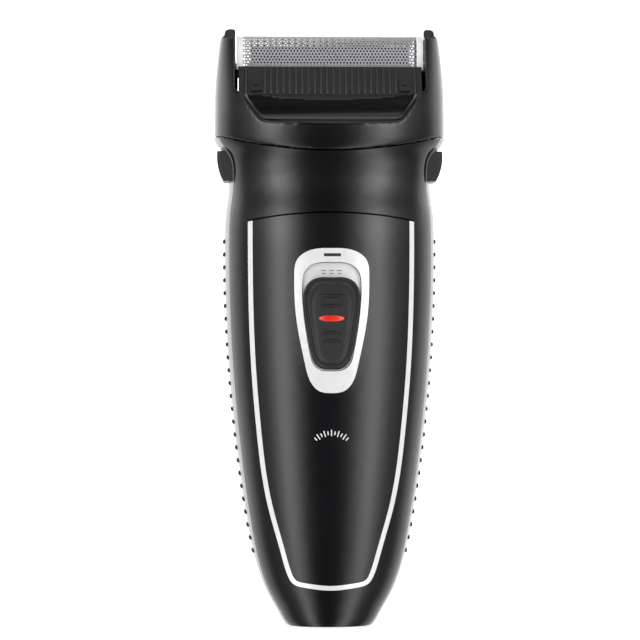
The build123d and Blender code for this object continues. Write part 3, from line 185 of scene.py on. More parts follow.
def brushed_metal(name, dark, light, grit_mm=0.18):
    """Stamped sheet with its rolling lines: long fine streaks that stretch the highlights."""
    material, tree, surface, where = new_material(name)
    long = add_node(tree, "ShaderNodeMapping", {"Scale": STREAK_STRETCH}, Vector=where).outputs[0]
    streak = add_node(tree, NOISE, grains(grit_mm * STREAK_LENGTH, 4.0), Vector=long).outputs["Fac"]
    colour, roughness, relief = (streak, dark, light), (streak, 0.18, 0.34), (streak, 0.004, 0.4)
    dress(tree, surface, colour, roughness, relief, Metallic=1.0)
    return material


def plated_foil(name, dark, light):
    """Electroformed nickel: a satin white metal whose fine matt grain lights up between the holes."""
    material, tree, surface, where = new_material(name)
    grain = add_node(tree, NOISE, grains(0.3, 3.0), Vector=where).outputs["Fac"]
    dress(tree, surface, (grain, dark, light), (grain, 0.22, 0.36), Metallic=0.6)
    return material


def moulded_rubber(name, dark, light):
    """Thermoplastic elastomer moulded over the frame: dull, with a dusty bloom in its pores."""
    material, tree, surface, where = new_material(name)
    pore = add_node(tree, NOISE, grains(0.3, 5.0), Vector=where).outputs["Fac"]
    colour, roughness, relief = (pore, dark, light), (pore, 0.55, 0.75), (pore, 0.02, 0.4)
    dress(tree, surface, colour, roughness, relief, Sheen_Weight=0.15)
    return material


def tinted_acrylic(name, dark, light):
    """Dyed acrylic lens: clear and glossy, with the colour held inside it and a faint painted glow."""
    material, tree, surface, where = new_material(name)
    depth = add_node(tree, NOISE, grains(2.0, 2.0), Vector=where).outputs["Fac"]
    # painted glow: a faint emission in the lens's light colour, though the lens is no lamp
    painted_glow = {"Emission_Color": linear(light), "Emission_Strength": 0.08}
    colour, roughness = (depth, dark, light), (depth, 0.05, 0.12)
    dress(tree, surface, colour, roughness, IOR=ACRYLIC_IOR, Coat_Weight=0.5, **painted_glow)
    return material


def glass_epoxy(name, dark, light):
    """Solder-masked glass-epoxy board: the weave shows through a glossy green mask."""
    material, tree, surface, where = new_material(name)
    cloth = {"Scale": PER_METRE / WEAVE_PITCH / WAVE_LENGTHS, "Distortion": 1.0}
    weave = add_node(tree, "ShaderNodeTexWave", cloth, Vector=where).outputs["Fac"]
    dress(tree, surface, (weave, dark, light), (weave, 0.25, 0.4), (weave, 0.01, 0.3))
    return material


def pad_ink(name, dark, light):
    """Pad-printed ink: a thin opaque film, slightly duller than the plastic it is on."""
    material, tree, surface, where = new_material(name)
    grain = add_node(tree, NOISE, grains(0.15, 3.0), Vector=where).outputs["Fac"]
    dress(tree, surface, (grain, dark, light), (grain, 0.4, 0.6))
    return material


FINISHES = {
    "gloss_black": polished_abs("gloss black ABS", "#08080a", "#101013"),
    "satin_black": spark_eroded_abs("satin black ABS", "#0c0c0e", "#161618"),
    "grey_frame": metallised_abs("silver lacquered ABS", "#737376", "#98989b"),
    "chrome": chrome_plate("bright chrome plate", "#e4e4e6", "#f7f7f8"),
    "steel": brushed_metal("rolled stainless steel", "#8f9092", "#c4c5c7"),
    "foil_steel": plated_foil("electroformed nickel foil", "#9c9da0", "#c6c6c9"),
    "rubber": moulded_rubber("black elastomer", "#070707", "#131313"),
    "red_lens": tinted_acrylic("red acrylic", "#b81d0c", "#ee3a22"),
    "white_plastic": spark_eroded_abs("white acetal", "#cfcfca", "#e9e9e5", 0.4),
    "board": glass_epoxy("green glass-epoxy board", "#06301a", "#0d4a29"),
    "brass": brushed_metal("nickel-plated brass", "#9f8650", "#d6bd82", 0.1),
    "cell_wrap": polished_abs("blue shrink wrap", "#0a2c4e", "#123f6b"),
}

# Pieces whose finish is lighter or darker than the rest of their slot.
OWN_FINISH = {
    "slide_plate": metallised_abs("pale silver lacquered ABS", "#e6e6e8", "#f8f8f9"),
    "comb_ribs": polished_abs("semi-gloss black acetal", "#1b1b1d", "#2a2a2c"),
    "cutter_blades": brushed_metal("dark ground blade steel", "#26272a", "#3c3d40", 0.1),
}

slot_of = {part["node"]: part["material_slot"] for part in frame["record"]["subparts"]}
for name, node in frame["nodes"].items():
    node.data.materials.clear()
    node.data.materials.append(OWN_FINISH.get(name) or FINISHES[slot_of[name]])

body_of_node = {
    node: body for body, nodes in frame["record"]["behaviour"]["bodies"].items() for node in nodes
}

# ---------------------------------------------------------------- mesh helpers


def linked(name, mesh):
    """A new object in the scene with a mesh."""
    piece = bpy.data.objects.new(name, mesh)
    bpy.context.collection.objects.link(piece)
    return piece


def closed(name, work):
    """Turns a finished bmesh into a mesh, and frees it."""
    mesh = bpy.data.meshes.new(name)
    work.to_mesh(mesh)
    work.free()
    return mesh


def settle(piece, node):
    """Rides a finished piece on the body of the CAD node it stands for, and gives it its finish."""
    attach(piece, body_of_node[node])
    if not piece.data.materials:
        piece.data.materials.append(FINISHES[slot_of[node]])
    return piece


def apply_modifiers(piece):
    """Turns a piece's modifiers into plain mesh."""
    graph = bpy.context.evaluated_depsgraph_get()
    finished = bpy.data.meshes.new_from_object(piece.evaluated_get(graph))
    piece.modifiers.clear()
    piece.data = finished
    return piece


def merged_copy(node, weld_mm, sliver_mm=0.0):
    """A copy of a CAD node's mesh with its doubled corners merged, ready to be reshaped."""
    mesh = frame["nodes"][node].data.copy()
    work = bmesh.new()
    work.from_mesh(mesh)
    bmesh.ops.remove_doubles(work, verts=work.verts, dist=weld_mm * MM)
    if sliver_mm:
        bmesh.ops.dissolve_degenerate(work, edges=work.edges, dist=sliver_mm * MM)
    work.to_mesh(mesh)
    work.free()
    if "custom_normal" in mesh.attributes:
        mesh.attributes.remove(mesh.attributes["custom_normal"])
    mesh.shade_smooth()
    return mesh


def softened(node, width_mm):
    """Stands in for a CAD node with the same form, its sharp moulded edges rounded."""
    piece = linked(node + "_soft", merged_copy(node, WELD_GAP, SLIVER_GAP))
    bevel = piece.modifiers.new("edges", "BEVEL")
    bevel.width = width_mm * MM
    bevel.segments = 2
    bevel.limit_method = "ANGLE"
    bevel.angle_limit = SHARP_ANGLE
    bevel.harden_normals = True
    bevel.use_clamp_overlap = True
    apply_modifiers(piece)
    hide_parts(node)
    return settle(piece, node)


WELD_GAP, SLIVER_GAP, SPRING_WELD = 0.002, 0.001, 0.001
SHARP_ANGLE = 0.6  # radians between faces, past which an edge is rounded
SOFT_EDGES_MM = {
    "face_trim": 0.15,
    "face_panel": 0.15,
    "switch_bezel": 0.35,
    "front_housing": 0.15,
    "rear_housing": 0.15,
    "foil_tabs": 0.12,
    "trimmer_latch": 0.2,
    "trimmer_carrier": 0.2,
    "charge_inlet": 0.15,
    "top_deck": 0.15,
    "cutter_carrier": 0.2,
    "drive_bridge": 0.15,
}
for node, width in SOFT_EDGES_MM.items():
    softened(node, width)

# ---------------------------------------------------------------- springs


def spring_piece(node):
    """Stands in for a coil spring with a merged copy of its mesh, riding on its body."""
    piece = linked(node + "_coil", merged_copy(node, SPRING_WELD))
    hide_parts(node)
    settle(piece, node)
    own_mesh(piece)


# How far each spring shortens: its joint's travel and 0.05 mm more, so that nothing touches it.
for node, joint in (("foil_springs", "foil_float"), ("cutter_spring", "cutter_float")):
    spring_piece(node)
for side, inner in (("left", 1), ("right", 0)):
    spring_piece("release_spring_" + side)

# ---------------------------------------------------------------- the moulded head


HEAD_VOXEL = 0.4
# The guide rib inside each ear, beside the foil's frame.
EAR_RIB_X, EAR_RIB_WIDE, EAR_RIB_DEEP, EAR_RIB_EXTRA = 23.6, 1.5, 5.0, 2.0
# The ear is what is above its root and outside its inner face. It leans in, and its top corner is round.
EAR_TALL, EAR_INNER, EAR_CORNER, EAR_LEAN = 9.0, 22.9, 2.6, 0.16
# In front of this depth the cheek's top steps down, over a short ramp.
CHEEK_FRONT, CHEEK_DROP, CHEEK_RAMP = -2.6, 2.3, 0.35


def smooth_head():
    """The head's shell with every edge run soft, its ears rounded over and a step across each cheek."""
    mesh = frame["nodes"]["head_frame"].data.copy()
    work = bmesh.new()
    work.from_mesh(mesh)
    bmesh.ops.remove_doubles(work, verts=work.verts, dist=WELD_GAP * MM)
    low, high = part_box("foil_frame")
    for side in (-1, 1):
        rib = bmesh.ops.create_cube(work, size=1.0)["verts"]
        for vertex in rib:
            vertex.co.x = side * (EAR_RIB_X + vertex.co.x * EAR_RIB_WIDE) * MM
            vertex.co.y *= EAR_RIB_DEEP * MM
            vertex.co.z = (low.z + high.z) / 2 + vertex.co.z * (high.z - low.z + EAR_RIB_EXTRA * MM)
    bmesh.ops.recalc_face_normals(work, faces=work.faces)
    work.to_mesh(mesh)
    work.free()
    piece = linked("head_shell", mesh)
    remesh = piece.modifiers.new("even", "REMESH")
    remesh.mode = "VOXEL"
    remesh.voxel_size = HEAD_VOXEL * MM
    soften = piece.modifiers.new("soft", "SMOOTH")
    soften.factor = 0.5
    soften.iterations = 5
    apply_modifiers(piece)
    low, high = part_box("head_frame")
    top, root = high.z, high.z - EAR_TALL * MM
    for vertex in piece.data.vertices:
        x, y, z = vertex.co
        side = 1 if x > 0 else -1
        across = abs(x)
        if z > root and across > EAR_INNER * MM:
            if y < CHEEK_FRONT * MM:
                step = min(1.0, (CHEEK_FRONT * MM - y) / (CHEEK_RAMP * MM))
                z = min(z, top - CHEEK_DROP * MM * step)
            outer = high.x - EAR_LEAN * (z - root)
            corner_x, corner_z = outer - EAR_CORNER * MM, top - EAR_CORNER * MM
            dx, dz = across - corner_x, z - corner_z
            if dx > 0 and dz > 0:
                reach = hypot(dx, dz)
                shrink = max(dx, dz) / reach
                across, z = corner_x + dx * shrink, corner_z + dz * shrink
        vertex.co = (side * across, y, z)
    piece.data.shade_smooth()
    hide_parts("head_frame")
    return settle(piece, "head_frame")


smooth_head()

# ---------------------------------------------------------------- repeats grown by Geometry Nodes


def grow(name, seed_mesh, tree, sizes):
    """Runs a node tree on a seed mesh with its named sizes set, and returns the plain mesh object."""
    piece = linked(name, seed_mesh)
    modifier = piece.modifiers.new("grow", "NODES")
    modifier.node_group = tree
    for item in tree.interface.items_tree:
        if item.item_type == "SOCKET" and item.in_out == "INPUT" and item.name in sizes:
            modifier[item.identifier] = sizes[item.name]
    return apply_modifiers(piece)


def size_tree(name, sizes):
    """A node tree that takes a mesh and named sizes, with its group input and output in place."""
    tree = bpy.data.node_groups.new(name, "GeometryNodeTree")
    tree.interface.new_socket("Geometry", in_out="INPUT", socket_type="NodeSocketGeometry")
    for size, kind in sizes.items():
        tree.interface.new_socket(size, in_out="INPUT", socket_type=kind)
    tree.interface.new_socket("Geometry", in_out="OUTPUT", socket_type="NodeSocketGeometry")
    return tree, tree.nodes.new("NodeGroupInput")


def grown_tree(tree, given, count, x, y, finish):
    """Ends a tree with its seed repeated at each x and y, made real, merged and given its finish."""
    line = add_node(tree, "GeometryNodeMeshLine", Count=count)
    place = add_node(tree, "ShaderNodeCombineXYZ", X=x.outputs[0])
    if y:
        tree.links.new(y.outputs[0], place.inputs["Y"])
    spots = {"Geometry": line.outputs[0], "Position": place.outputs[0]}
    points = add_node(tree, "GeometryNodeSetPosition", **spots).outputs[0]
    seed = given.outputs["Geometry"]
    many = add_node(tree, "GeometryNodeInstanceOnPoints", Points=points, Instance=seed).outputs[0]
    real = add_node(tree, "GeometryNodeRealizeInstances", Geometry=many).outputs[0]
    weld = {"Distance": SEAM_GAP * MM}
    merged = add_node(tree, "GeometryNodeMergeByDistance", weld, Geometry=real).outputs[0]
    dressed = add_node(tree, "GeometryNodeSetMaterial", {"Material": finish}, Geometry=merged)
    tree.links.new(dressed.outputs[0], tree.nodes.new("NodeGroupOutput").inputs[0])


def lattice_tree(finish):
    """Repeats the seed mesh on a flat lattice whose every other row is set half a pitch across."""
    whole, real = "NodeSocketInt", "NodeSocketFloat"
    sizes = {"Columns": whole, "Rows": whole, "Pitch": real, "Row Pitch": real}
    tree, given = size_tree("lattice", sizes)
    columns, rows = given.outputs["Columns"], given.outputs["Rows"]
    pitch, row_pitch = given.outputs["Pitch"], given.outputs["Row Pitch"]
    times, over = {"operation": "MULTIPLY"}, {"operation": "DIVIDE"}
    count = add_node(tree, MATH, times, _0=columns, _1=rows).outputs[0]
    index = add_node(tree, "GeometryNodeInputIndex").outputs[0]
    row = add_node(tree, MATH, over, _0=index, _1=columns).outputs[0]
    row = add_node(tree, MATH, {"operation": "FLOOR"}, _0=row).outputs[0]
    column = add_node(tree, MATH, {"operation": "MODULO"}, _0=index, _1=columns).outputs[0]
    odd = add_node(tree, MATH, {"operation": "MODULO", 1: 2.0}, _0=row).outputs[0]
    half = {"operation": "MULTIPLY_ADD", 1: 0.5}
    across = add_node(tree, MATH, half, _0=odd, _2=column).outputs[0]
    x = add_node(tree, MATH, times, _0=across, _1=pitch)
    y = add_node(tree, MATH, times, _0=row, _1=row_pitch)
    grown_tree(tree, given, count, x, y, finish)
    return tree


SEAM_GAP = 0.004
# The holes are a little coarser than the real 0.77 mm pitch, so that they still show.
FOIL_PITCH, FOIL_ROW, FOIL_HOLE, FOIL_THICK = 0.82, 0.72, 0.26, 0.12
FOIL_MARGIN, FOIL_EDGE_MARGIN = 1.0, 0.4
ARCH_STEPS, LENGTH_STEPS = 96, 8


def cell_mesh(pitch, row_pitch, hole):
    """One cell of the foil: a brick-shaped plate round a six-sided hole."""
    work = bmesh.new()
    w, h = pitch / 2, row_pitch / 2
    outer = [(w, -h), (w, h), (0, h), (-w, h), (-w, -h), (0, -h)]
    rim = [work.verts.new((x, y, 0)) for x, y in outer]
    edge = []
    for x, y in outer:
        length = hypot(x, y)
        edge.append(work.verts.new((x / length * hole, y / length * hole, 0)))
    for k in range(6):
        j = (k + 1) % 6
        work.faces.new((rim[k], rim[j], edge[j], edge[k]))
    return closed("foil_cell", work)


def foil_sheet():
    """The shaving foil: a perforated sheet with plain margins, arched over the cutter."""
    low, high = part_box("foil_mesh")
    radius = (high.y - low.y) / 2 - FOIL_THICK * MM
    centre = high.z - (high.y - low.y) / 2
    leg = centre - low.z
    half_length = (high.x - low.x) / 2
    arc = pi * radius + 2 * leg
    rows = int((arc - 2 * FOIL_EDGE_MARGIN * MM) / (FOIL_ROW * MM))
    rows -= 1 - rows % 2
    columns = int((2 * half_length - 2 * FOIL_MARGIN * MM) / (FOIL_PITCH * MM)) - 1
    sheet = grow(
        "foil_perforated",
        cell_mesh(FOIL_PITCH * MM, FOIL_ROW * MM, FOIL_HOLE * MM),
        lattice_tree(FINISHES["foil_steel"]),
        {"Columns": columns, "Rows": rows, "Pitch": FOIL_PITCH * MM, "Row Pitch": FOIL_ROW * MM},
    )
    holes_wide, holes_tall = (columns - 0.5) * FOIL_PITCH * MM, (rows - 1) * FOIL_ROW * MM
    work = bmesh.new()
    work.from_mesh(sheet.data)
    for vertex in work.verts:
        vertex.co.x -= holes_wide / 2
        vertex.co.y -= holes_tall / 2
    half_holes = holes_tall / 2 + FOIL_ROW * MM / 2
    inside = (columns - 1) * FOIL_PITCH * MM / 2 - FOIL_PITCH * MM / 4
    for side in (-1, 1):
        strip_x = sorted((side * (inside + FOIL_PITCH * MM), side * half_length))
        levels = [-arc / 2 + arc * k / ARCH_STEPS for k in range(ARCH_STEPS + 1)]
        grid = [[work.verts.new((x, s, 0)) for x in strip_x] for s in levels]
        for a, b in zip(grid, grid[1:]):
            work.faces.new((a[0], a[1], b[1], b[0]))
        edge = sorted((side * half_holes, side * arc / 2))
        share = 2 * half_length / LENGTH_STEPS
        columns_x = [-half_length + share * k for k in range(LENGTH_STEPS + 1)]
        grid = [[work.verts.new((x, s, 0)) for x in columns_x] for s in edge]
        for k in range(LENGTH_STEPS):
            work.faces.new((grid[0][k], grid[0][k + 1], grid[1][k + 1], grid[1][k]))
    for vertex in work.verts:
        x, s, _ = vertex.co
        turn = max(-pi / 2, min(pi / 2, s / radius))
        drop = max(abs(s) - pi * radius / 2, 0)
        vertex.co = (x, radius * sin(turn), centre + radius * cos(turn) - drop)
    work.normal_update()
    for face in work.faces:
        middle = face.calc_center_median()
        out = Vector((0, middle.y, max(middle.z - centre, 0)))
        if face.normal.dot(out) < 0:
            face.normal_flip()
    work.to_mesh(sheet.data)
    work.free()
    thick = sheet.modifiers.new("gauge", "SOLIDIFY")
    thick.thickness = FOIL_THICK * MM
    thick.offset = 1.0
    sheet.data.shade_flat()
    apply_modifiers(sheet)
    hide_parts("foil_mesh")
    return settle(sheet, "foil_mesh")


foil_sheet()

FRAME_FOOT, FRAME_BROW, FRAME_LOW, FRAME_TALL = 9.8, 6.2, 129.2, 9.0
RIB_PITCH, RIB_WIDE, RIB_PROUD, RIB_LOW, RIB_HIGH = 1.54, 0.7, 0.45, 131.0, 137.9
TAB_X, TAB_CLEAR = 18.3, 1.5


def bar_mesh(name, wide, deep, tall, lean):
    """A rounded bar that stands on its lower end and leans back as it rises."""
    work = bmesh.new()
    bmesh.ops.create_cube(work, size=1.0)
    for vertex in work.verts:
        vertex.co.x *= wide
        vertex.co.y *= deep
        vertex.co.z = (vertex.co.z + 0.5) * tall
        vertex.co.y += vertex.co.z * lean
    offset = min(wide, deep) * 0.3
    bmesh.ops.bevel(
        work, geom=list(work.edges), offset=offset, segments=2, affect="EDGES", profile=0.6
    )
    return closed(name, work)


def comb_ribs():
    """The upright ribs down both faces of the foil's frame, left out where its tabs are."""
    low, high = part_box("foil_frame")
    lean = (FRAME_FOOT - FRAME_BROW) / FRAME_TALL
    count = int((high.x - low.x) / (RIB_PITCH * MM)) - 1
    tree, given = size_tree("rib_row", {"Count": "NodeSocketInt", "Pitch": "NodeSocketFloat"})
    index = add_node(tree, "GeometryNodeInputIndex").outputs[0]
    x = add_node(tree, MATH, {"operation": "MULTIPLY"}, _0=index, _1=given.outputs["Pitch"])
    grown_tree(tree, given, given.outputs["Count"], x, None, OWN_FINISH["comb_ribs"])
    bar = bar_mesh("rib", RIB_WIDE * MM, 2 * RIB_PROUD * MM, (RIB_HIGH - RIB_LOW) * MM, lean)
    row = grow("comb_ribs", bar, tree, {"Count": count, "Pitch": RIB_PITCH * MM})
    work = bmesh.new()
    work.from_mesh(row.data)
    start = -(count - 1) * RIB_PITCH * MM / 2
    foot = -(FRAME_FOOT - lean * (RIB_LOW - FRAME_LOW)) * MM
    bmesh.ops.translate(work, verts=work.verts, vec=(start, foot, RIB_LOW * MM))
    to_follow = [v for v in work.verts if abs(abs(v.co.x) / MM - TAB_X) < TAB_CLEAR]
    over_tabs = set(to_follow)
    while to_follow:
        for edge in to_follow.pop().link_edges:
            for end in edge.verts:
                if end not in over_tabs:
                    over_tabs.add(end)
                    to_follow.append(end)
    bmesh.ops.delete(work, geom=list(over_tabs), context="VERTS")
    front = list(work.verts) + list(work.edges) + list(work.faces)
    for part in bmesh.ops.duplicate(work, geom=front)["geom"]:
        if isinstance(part, bmesh.types.BMVert):
            part.co.y = -part.co.y
    bmesh.ops.recalc_face_normals(work, faces=work.faces)
    work.to_mesh(row.data)
    work.free()
    row.data.shade_smooth()
    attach(row, "foil")
    return row


comb_ribs()

# ---------------------------------------------------------------- power slider and marks


def skin_of(node, half_wide, low, high):
    """Depth of a front face as a smooth function of x and z, fitted to the CAD node's surface."""
    mesh = frame["nodes"][node].data
    rows, depths = [], []
    for polygon in mesh.polygons:
        middle = polygon.center
        if polygon.normal.y < -0.8 and abs(middle.x) < half_wide and low < middle.z < high:
            rows.append(skin_terms(middle.x, middle.z, (low + high) / 2))
            depths.append(middle.y)
    answer = np.linalg.lstsq(np.array(rows), np.array(depths), rcond=None)[0]
    return lambda x, z: float(np.dot(skin_terms(x, z, (low + high) / 2), answer))


def skin_terms(x, z, middle):
    """The terms of the fitted skin, in units of a centimetre so that they stay near one."""
    a, b = x * 100, (z - middle) * 100
    return [1.0, a * a, a**4, b, b * b, b**3, a * a * b]


def ring(outline, draw_in):
    """A closed ring of points in millimetres, an outline drawn in towards its middle."""
    low, high = min(z for x, z in outline), max(z for x, z in outline)
    widest, middle = max(x for x, z in outline), (low + high) / 2
    sx, sz = 1 - draw_in / widest, 1 - draw_in / ((high - low) / 2)
    return [(x * sx, middle + (z - middle) * sz) for x, z in outline]


def joined_up(work, rings, hub_place):
    """Faces between closed rings of points, and a fan from the last one to its hub."""
    for a, b in zip(rings, rings[1:]):
        for k in range(len(a)):
            j = (k + 1) % len(a)
            work.faces.new((a[k], a[j], b[j], b[k]))
    hub = work.verts.new(hub_place)
    for k in range(len(rings[-1])):
        work.faces.new((rings[-1][k], rings[-1][(k + 1) % len(rings[-1])], hub))
    bmesh.ops.recalc_face_normals(work, faces=work.faces)


def rounded_outline(points, count):
    """A smooth closed outline from half an outline in millimetres, as evenly spaced points."""
    curve = bpy.data.curves.new("outline", "CURVE")
    curve.dimensions = "3D"
    curve.resolution_u = 24
    spline = curve.splines.new("BEZIER")
    full = points + [(-x, z) for x, z in reversed(points) if x > 1e-6]
    spline.bezier_points.add(len(full) - 1)
    for knot, (x, z) in zip(spline.bezier_points, full):
        knot.co = (x, 0, z)
        knot.handle_left_type = knot.handle_right_type = "AUTO"
    spline.use_cyclic_u = True
    holder = linked("outline", curve)
    graph = bpy.context.evaluated_depsgraph_get()
    mesh = bpy.data.meshes.new_from_object(holder.evaluated_get(graph))
    trace = [(v.co.x, v.co.z) for v in mesh.vertices]
    bpy.data.objects.remove(holder)
    bpy.data.meshes.remove(mesh)
    lengths = [0.0]
    for a, b in zip(trace, trace[1:] + trace[:1]):
        lengths.append(lengths[-1] + hypot(b[0] - a[0], b[1] - a[1]))
    even = []
    k = 0
    for i in range(count):
        target = lengths[-1] * i / count
        while lengths[k + 1] < target:
            k += 1
        share = (target - lengths[k]) / (lengths[k + 1] - lengths[k])
        a, b = trace[k], trace[(k + 1) % len(trace)]
        even.append((a[0] + (b[0] - a[0]) * share, a[1] + (b[1] - a[1]) * share))
    return even


# Half the slider's outline, and its section from the edge in: distance drawn in, height over the face.
SLIDER_HALF = [
    (0, 85.9), (4.1, 85.6), (5.8, 84.4), (6.9, 81.4), (6.7, 77.5),
    (5.9, 72.2), (5.0, 67.6), (3.9, 64.9), (2.3, 63.8), (0, 63.6),
]
SLIDER_SECTION = [
    (0.0, -1.2), (0.0, -0.15), (0.08, 0.05), (0.25, 0.16), (0.5, 0.16), (0.7, 0.02),
    (0.85, -0.1), (1.05, -0.1), (1.2, 0.05), (1.4, 0.2), (1.7, 0.2), (1.95, 0.08),
    (2.3, -0.05), (3.2, -0.12), (4.6, -0.15), (6.0, -0.15),
]
SLIDER_POINTS, PAD_POINTS = 96, 40
PAD_RINGS = (1.0, 0.92, 0.75, 0.5, 0.25)
PAD_SKIRT = 0.5
# Each thumb ridge's height on the slider, how it bows, and its half width.
THUMB_RIDGES = ((81.7, -0.35, 2.7), (79.4, -0.35, 2.7), (72.2, 0.35, 2.7), (70.3, 0.35, 2.4))


def slider_button():
    """The power slider: a double raised rim round a dished pad."""
    outline = rounded_outline(SLIDER_HALF, SLIDER_POINTS)
    skin = skin_of("power_slider", 6.0 * MM, 65.5 * MM, 81.0 * MM)
    work = bmesh.new()
    rings = []
    for draw_in, lift in SLIDER_SECTION:
        points = [(x * MM, z * MM) for x, z in ring(outline, draw_in)]
        rings.append([work.verts.new((x, skin(x, z) - lift * MM, z)) for x, z in points])
    middle = sum(z for x, z in outline) / len(outline) * MM
    joined_up(work, rings, (0, skin(0, middle) - SLIDER_SECTION[-1][1] * MM, middle))
    mesh = closed("slider_button", work)
    mesh.shade_smooth()
    return linked("slider_button", mesh), skin


slider, slider_skin = slider_button()
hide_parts("power_slider")
settle(slider, "power_slider")


def over_slider(name, half_wide, half_high, height, lift, rise, bow=0.0):
    """A low domed pad on the slider's face, oval or bowed into a crescent."""
    work = bmesh.new()
    rings = []
    for share in PAD_RINGS:
        up = rise * (1 - share**4)
        loop = []
        for k in range(PAD_POINTS):
            turn = 2 * pi * k / PAD_POINTS
            x = half_wide * share * cos(turn)
            z = height + half_high * share * sin(turn) + bow * (1 - (x / half_wide) ** 2)
            y = slider_skin(x * MM, z * MM) - (lift + up) * MM
            loop.append(work.verts.new((x * MM, y, z * MM)))
        rings.append(loop)
    rings.insert(0, [work.verts.new(v.co + Vector((0, PAD_SKIRT * MM, 0))) for v in rings[0]])
    middle = (height + bow) * MM
    joined_up(work, rings, (0, slider_skin(0, middle) - (lift + rise) * MM, middle))
    mesh = closed(name, work)
    mesh.shade_smooth()
    return linked(name, mesh)


lens = over_slider("red_window", 3.2, 0.78, 76.0, -0.15, 0.25)
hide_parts("slider_lens")
settle(lens, "slider_lens")
for k, (height, bow, half_wide) in enumerate(THUMB_RIDGES):
    settle(over_slider(f"thumb_ridge_{k}", half_wide, 0.42, height, -0.2, 0.5, bow), "power_slider")


TICK_COUNT, TICK_FAN, TICK_RADIUS, TICK_CENTRE = 11, 1.5, 5.6, 42.6
TICK_WIDE, TICK_TALL, SHORT_TICK, INK_THICK = 0.28, 1.5, 0.62, 0.03
BAR_X, BAR_HALF_THICK = (-1.9, 0.0, 1.9), 0.12
BAR_ROWS = ((87.6, 0.55), (86.9, 0.4))  # height, half length
CORNERS = ((-1, -1), (1, -1), (1, 1), (-1, 1))


def ink_film(work, skin, points_mm):
    """A four-cornered film of ink laid on a skin."""
    corners = [(x * MM, z * MM) for x, z in points_mm]
    work.faces.new([work.verts.new((x, skin(x, z) - INK_THICK * MM, z)) for x, z in corners])


def ink_piece(name, work, node, dark, light):
    """Turns a flat mesh into a printed film that rides with the CAD node under it."""
    for face in work.faces:
        face.normal_update()
        if face.normal.y > 0:
            face.normal_flip()
    mesh = closed(name, work)
    mesh.materials.append(pad_ink(name + " ink", dark, light))
    settle(linked(name, mesh), node)


def printed_marks():
    """A fan of printed ticks over the charge light, bars on the slide plate, and one on the bezel."""
    panel = skin_of("face_panel", 6.0 * MM, 44.0 * MM, 55.0 * MM)
    work = bmesh.new()
    for k in range(TICK_COUNT):
        lean = (k / (TICK_COUNT - 1) - 0.5) * TICK_FAN
        along, across = Vector((sin(lean), 0, cos(lean))), Vector((cos(lean), 0, -sin(lean)))
        middle = Vector((0, 0, TICK_CENTRE)) + along * TICK_RADIUS
        tall = TICK_TALL * (1.0 if k % 2 else SHORT_TICK)
        spots = [middle + across * (a * TICK_WIDE / 2) + along * (b * tall / 2) for a, b in CORNERS]
        ink_film(work, panel, [(spot.x, spot.z) for spot in spots])
    ink_piece("charge_ticks", work, "face_panel", "#c9c9cb", "#e4e4e6")
    plate_skin = skin_of("slide_plate", 4.5 * MM, 86.5 * MM, 88.8 * MM)
    work = bmesh.new()
    for x in BAR_X:
        for z, half in BAR_ROWS:
            ink_film(work, plate_skin, [(x + a * half, z + b * BAR_HALF_THICK) for a, b in CORNERS])
    ink_piece("position_bars", work, "slide_plate", "#6f6f72", "#8a8a8d")
    bezel = skin_of("switch_bezel", 6.0 * MM, 89.8 * MM, 92.6 * MM)
    work = bmesh.new()
    ink_film(work, bezel, ((-1.9, 91.0), (2.2, 91.0), (2.2, 91.75), (-1.9, 91.75)))
    ink_piece("bezel_bar", work, "switch_bezel", "#161617", "#222223")


printed_marks()

# ---------------------------------------------------------------- studio


# Brightness round the room, from ahead of the shaver's front to behind it, and from under it to above it.
ROOM_ROUND = (
    (0.0, 0.05), (0.03, 0.08), (0.06, 0.4), (0.1, 2.2), (0.14, 2.9), (0.18, 1.6), (0.24, 0.6),
    (0.36, 0.3), (0.46, 0.35), (0.56, 1.2), (0.75, 1.7), (1.0, 1.7),
)
ROOM_UP = (
    (0.0, 0.6), (0.3, 0.8), (0.42, 1.0), (0.55, 1.0), (0.64, 1.5), (0.74, 1.1), (0.84, 0.5),
    (1.0, 0.4),
)
BRIGHTEST = 4.0  # a ramp holds brightness as a share of this
CAMERA_FAR, CAMERA_TURN, CAMERA_HIGH, CAMERA_AIM_X = 0.55, -2.0 * pi / 180, 0.0756, -0.0023
VIEW_WIDE, SENSOR_WIDE = 0.160, 36.0


def plate(name, corners):
    """A flat stage sheet through four corners."""
    work = bmesh.new()
    work.faces.new([work.verts.new(corner) for corner in corners])
    return linked(name, closed(name, work))


def look_at(holder, target):
    """Turns a lamp or a camera to face a point."""
    holder.rotation_euler = (target - holder.location).to_track_quat("-Z", "Y").to_euler()


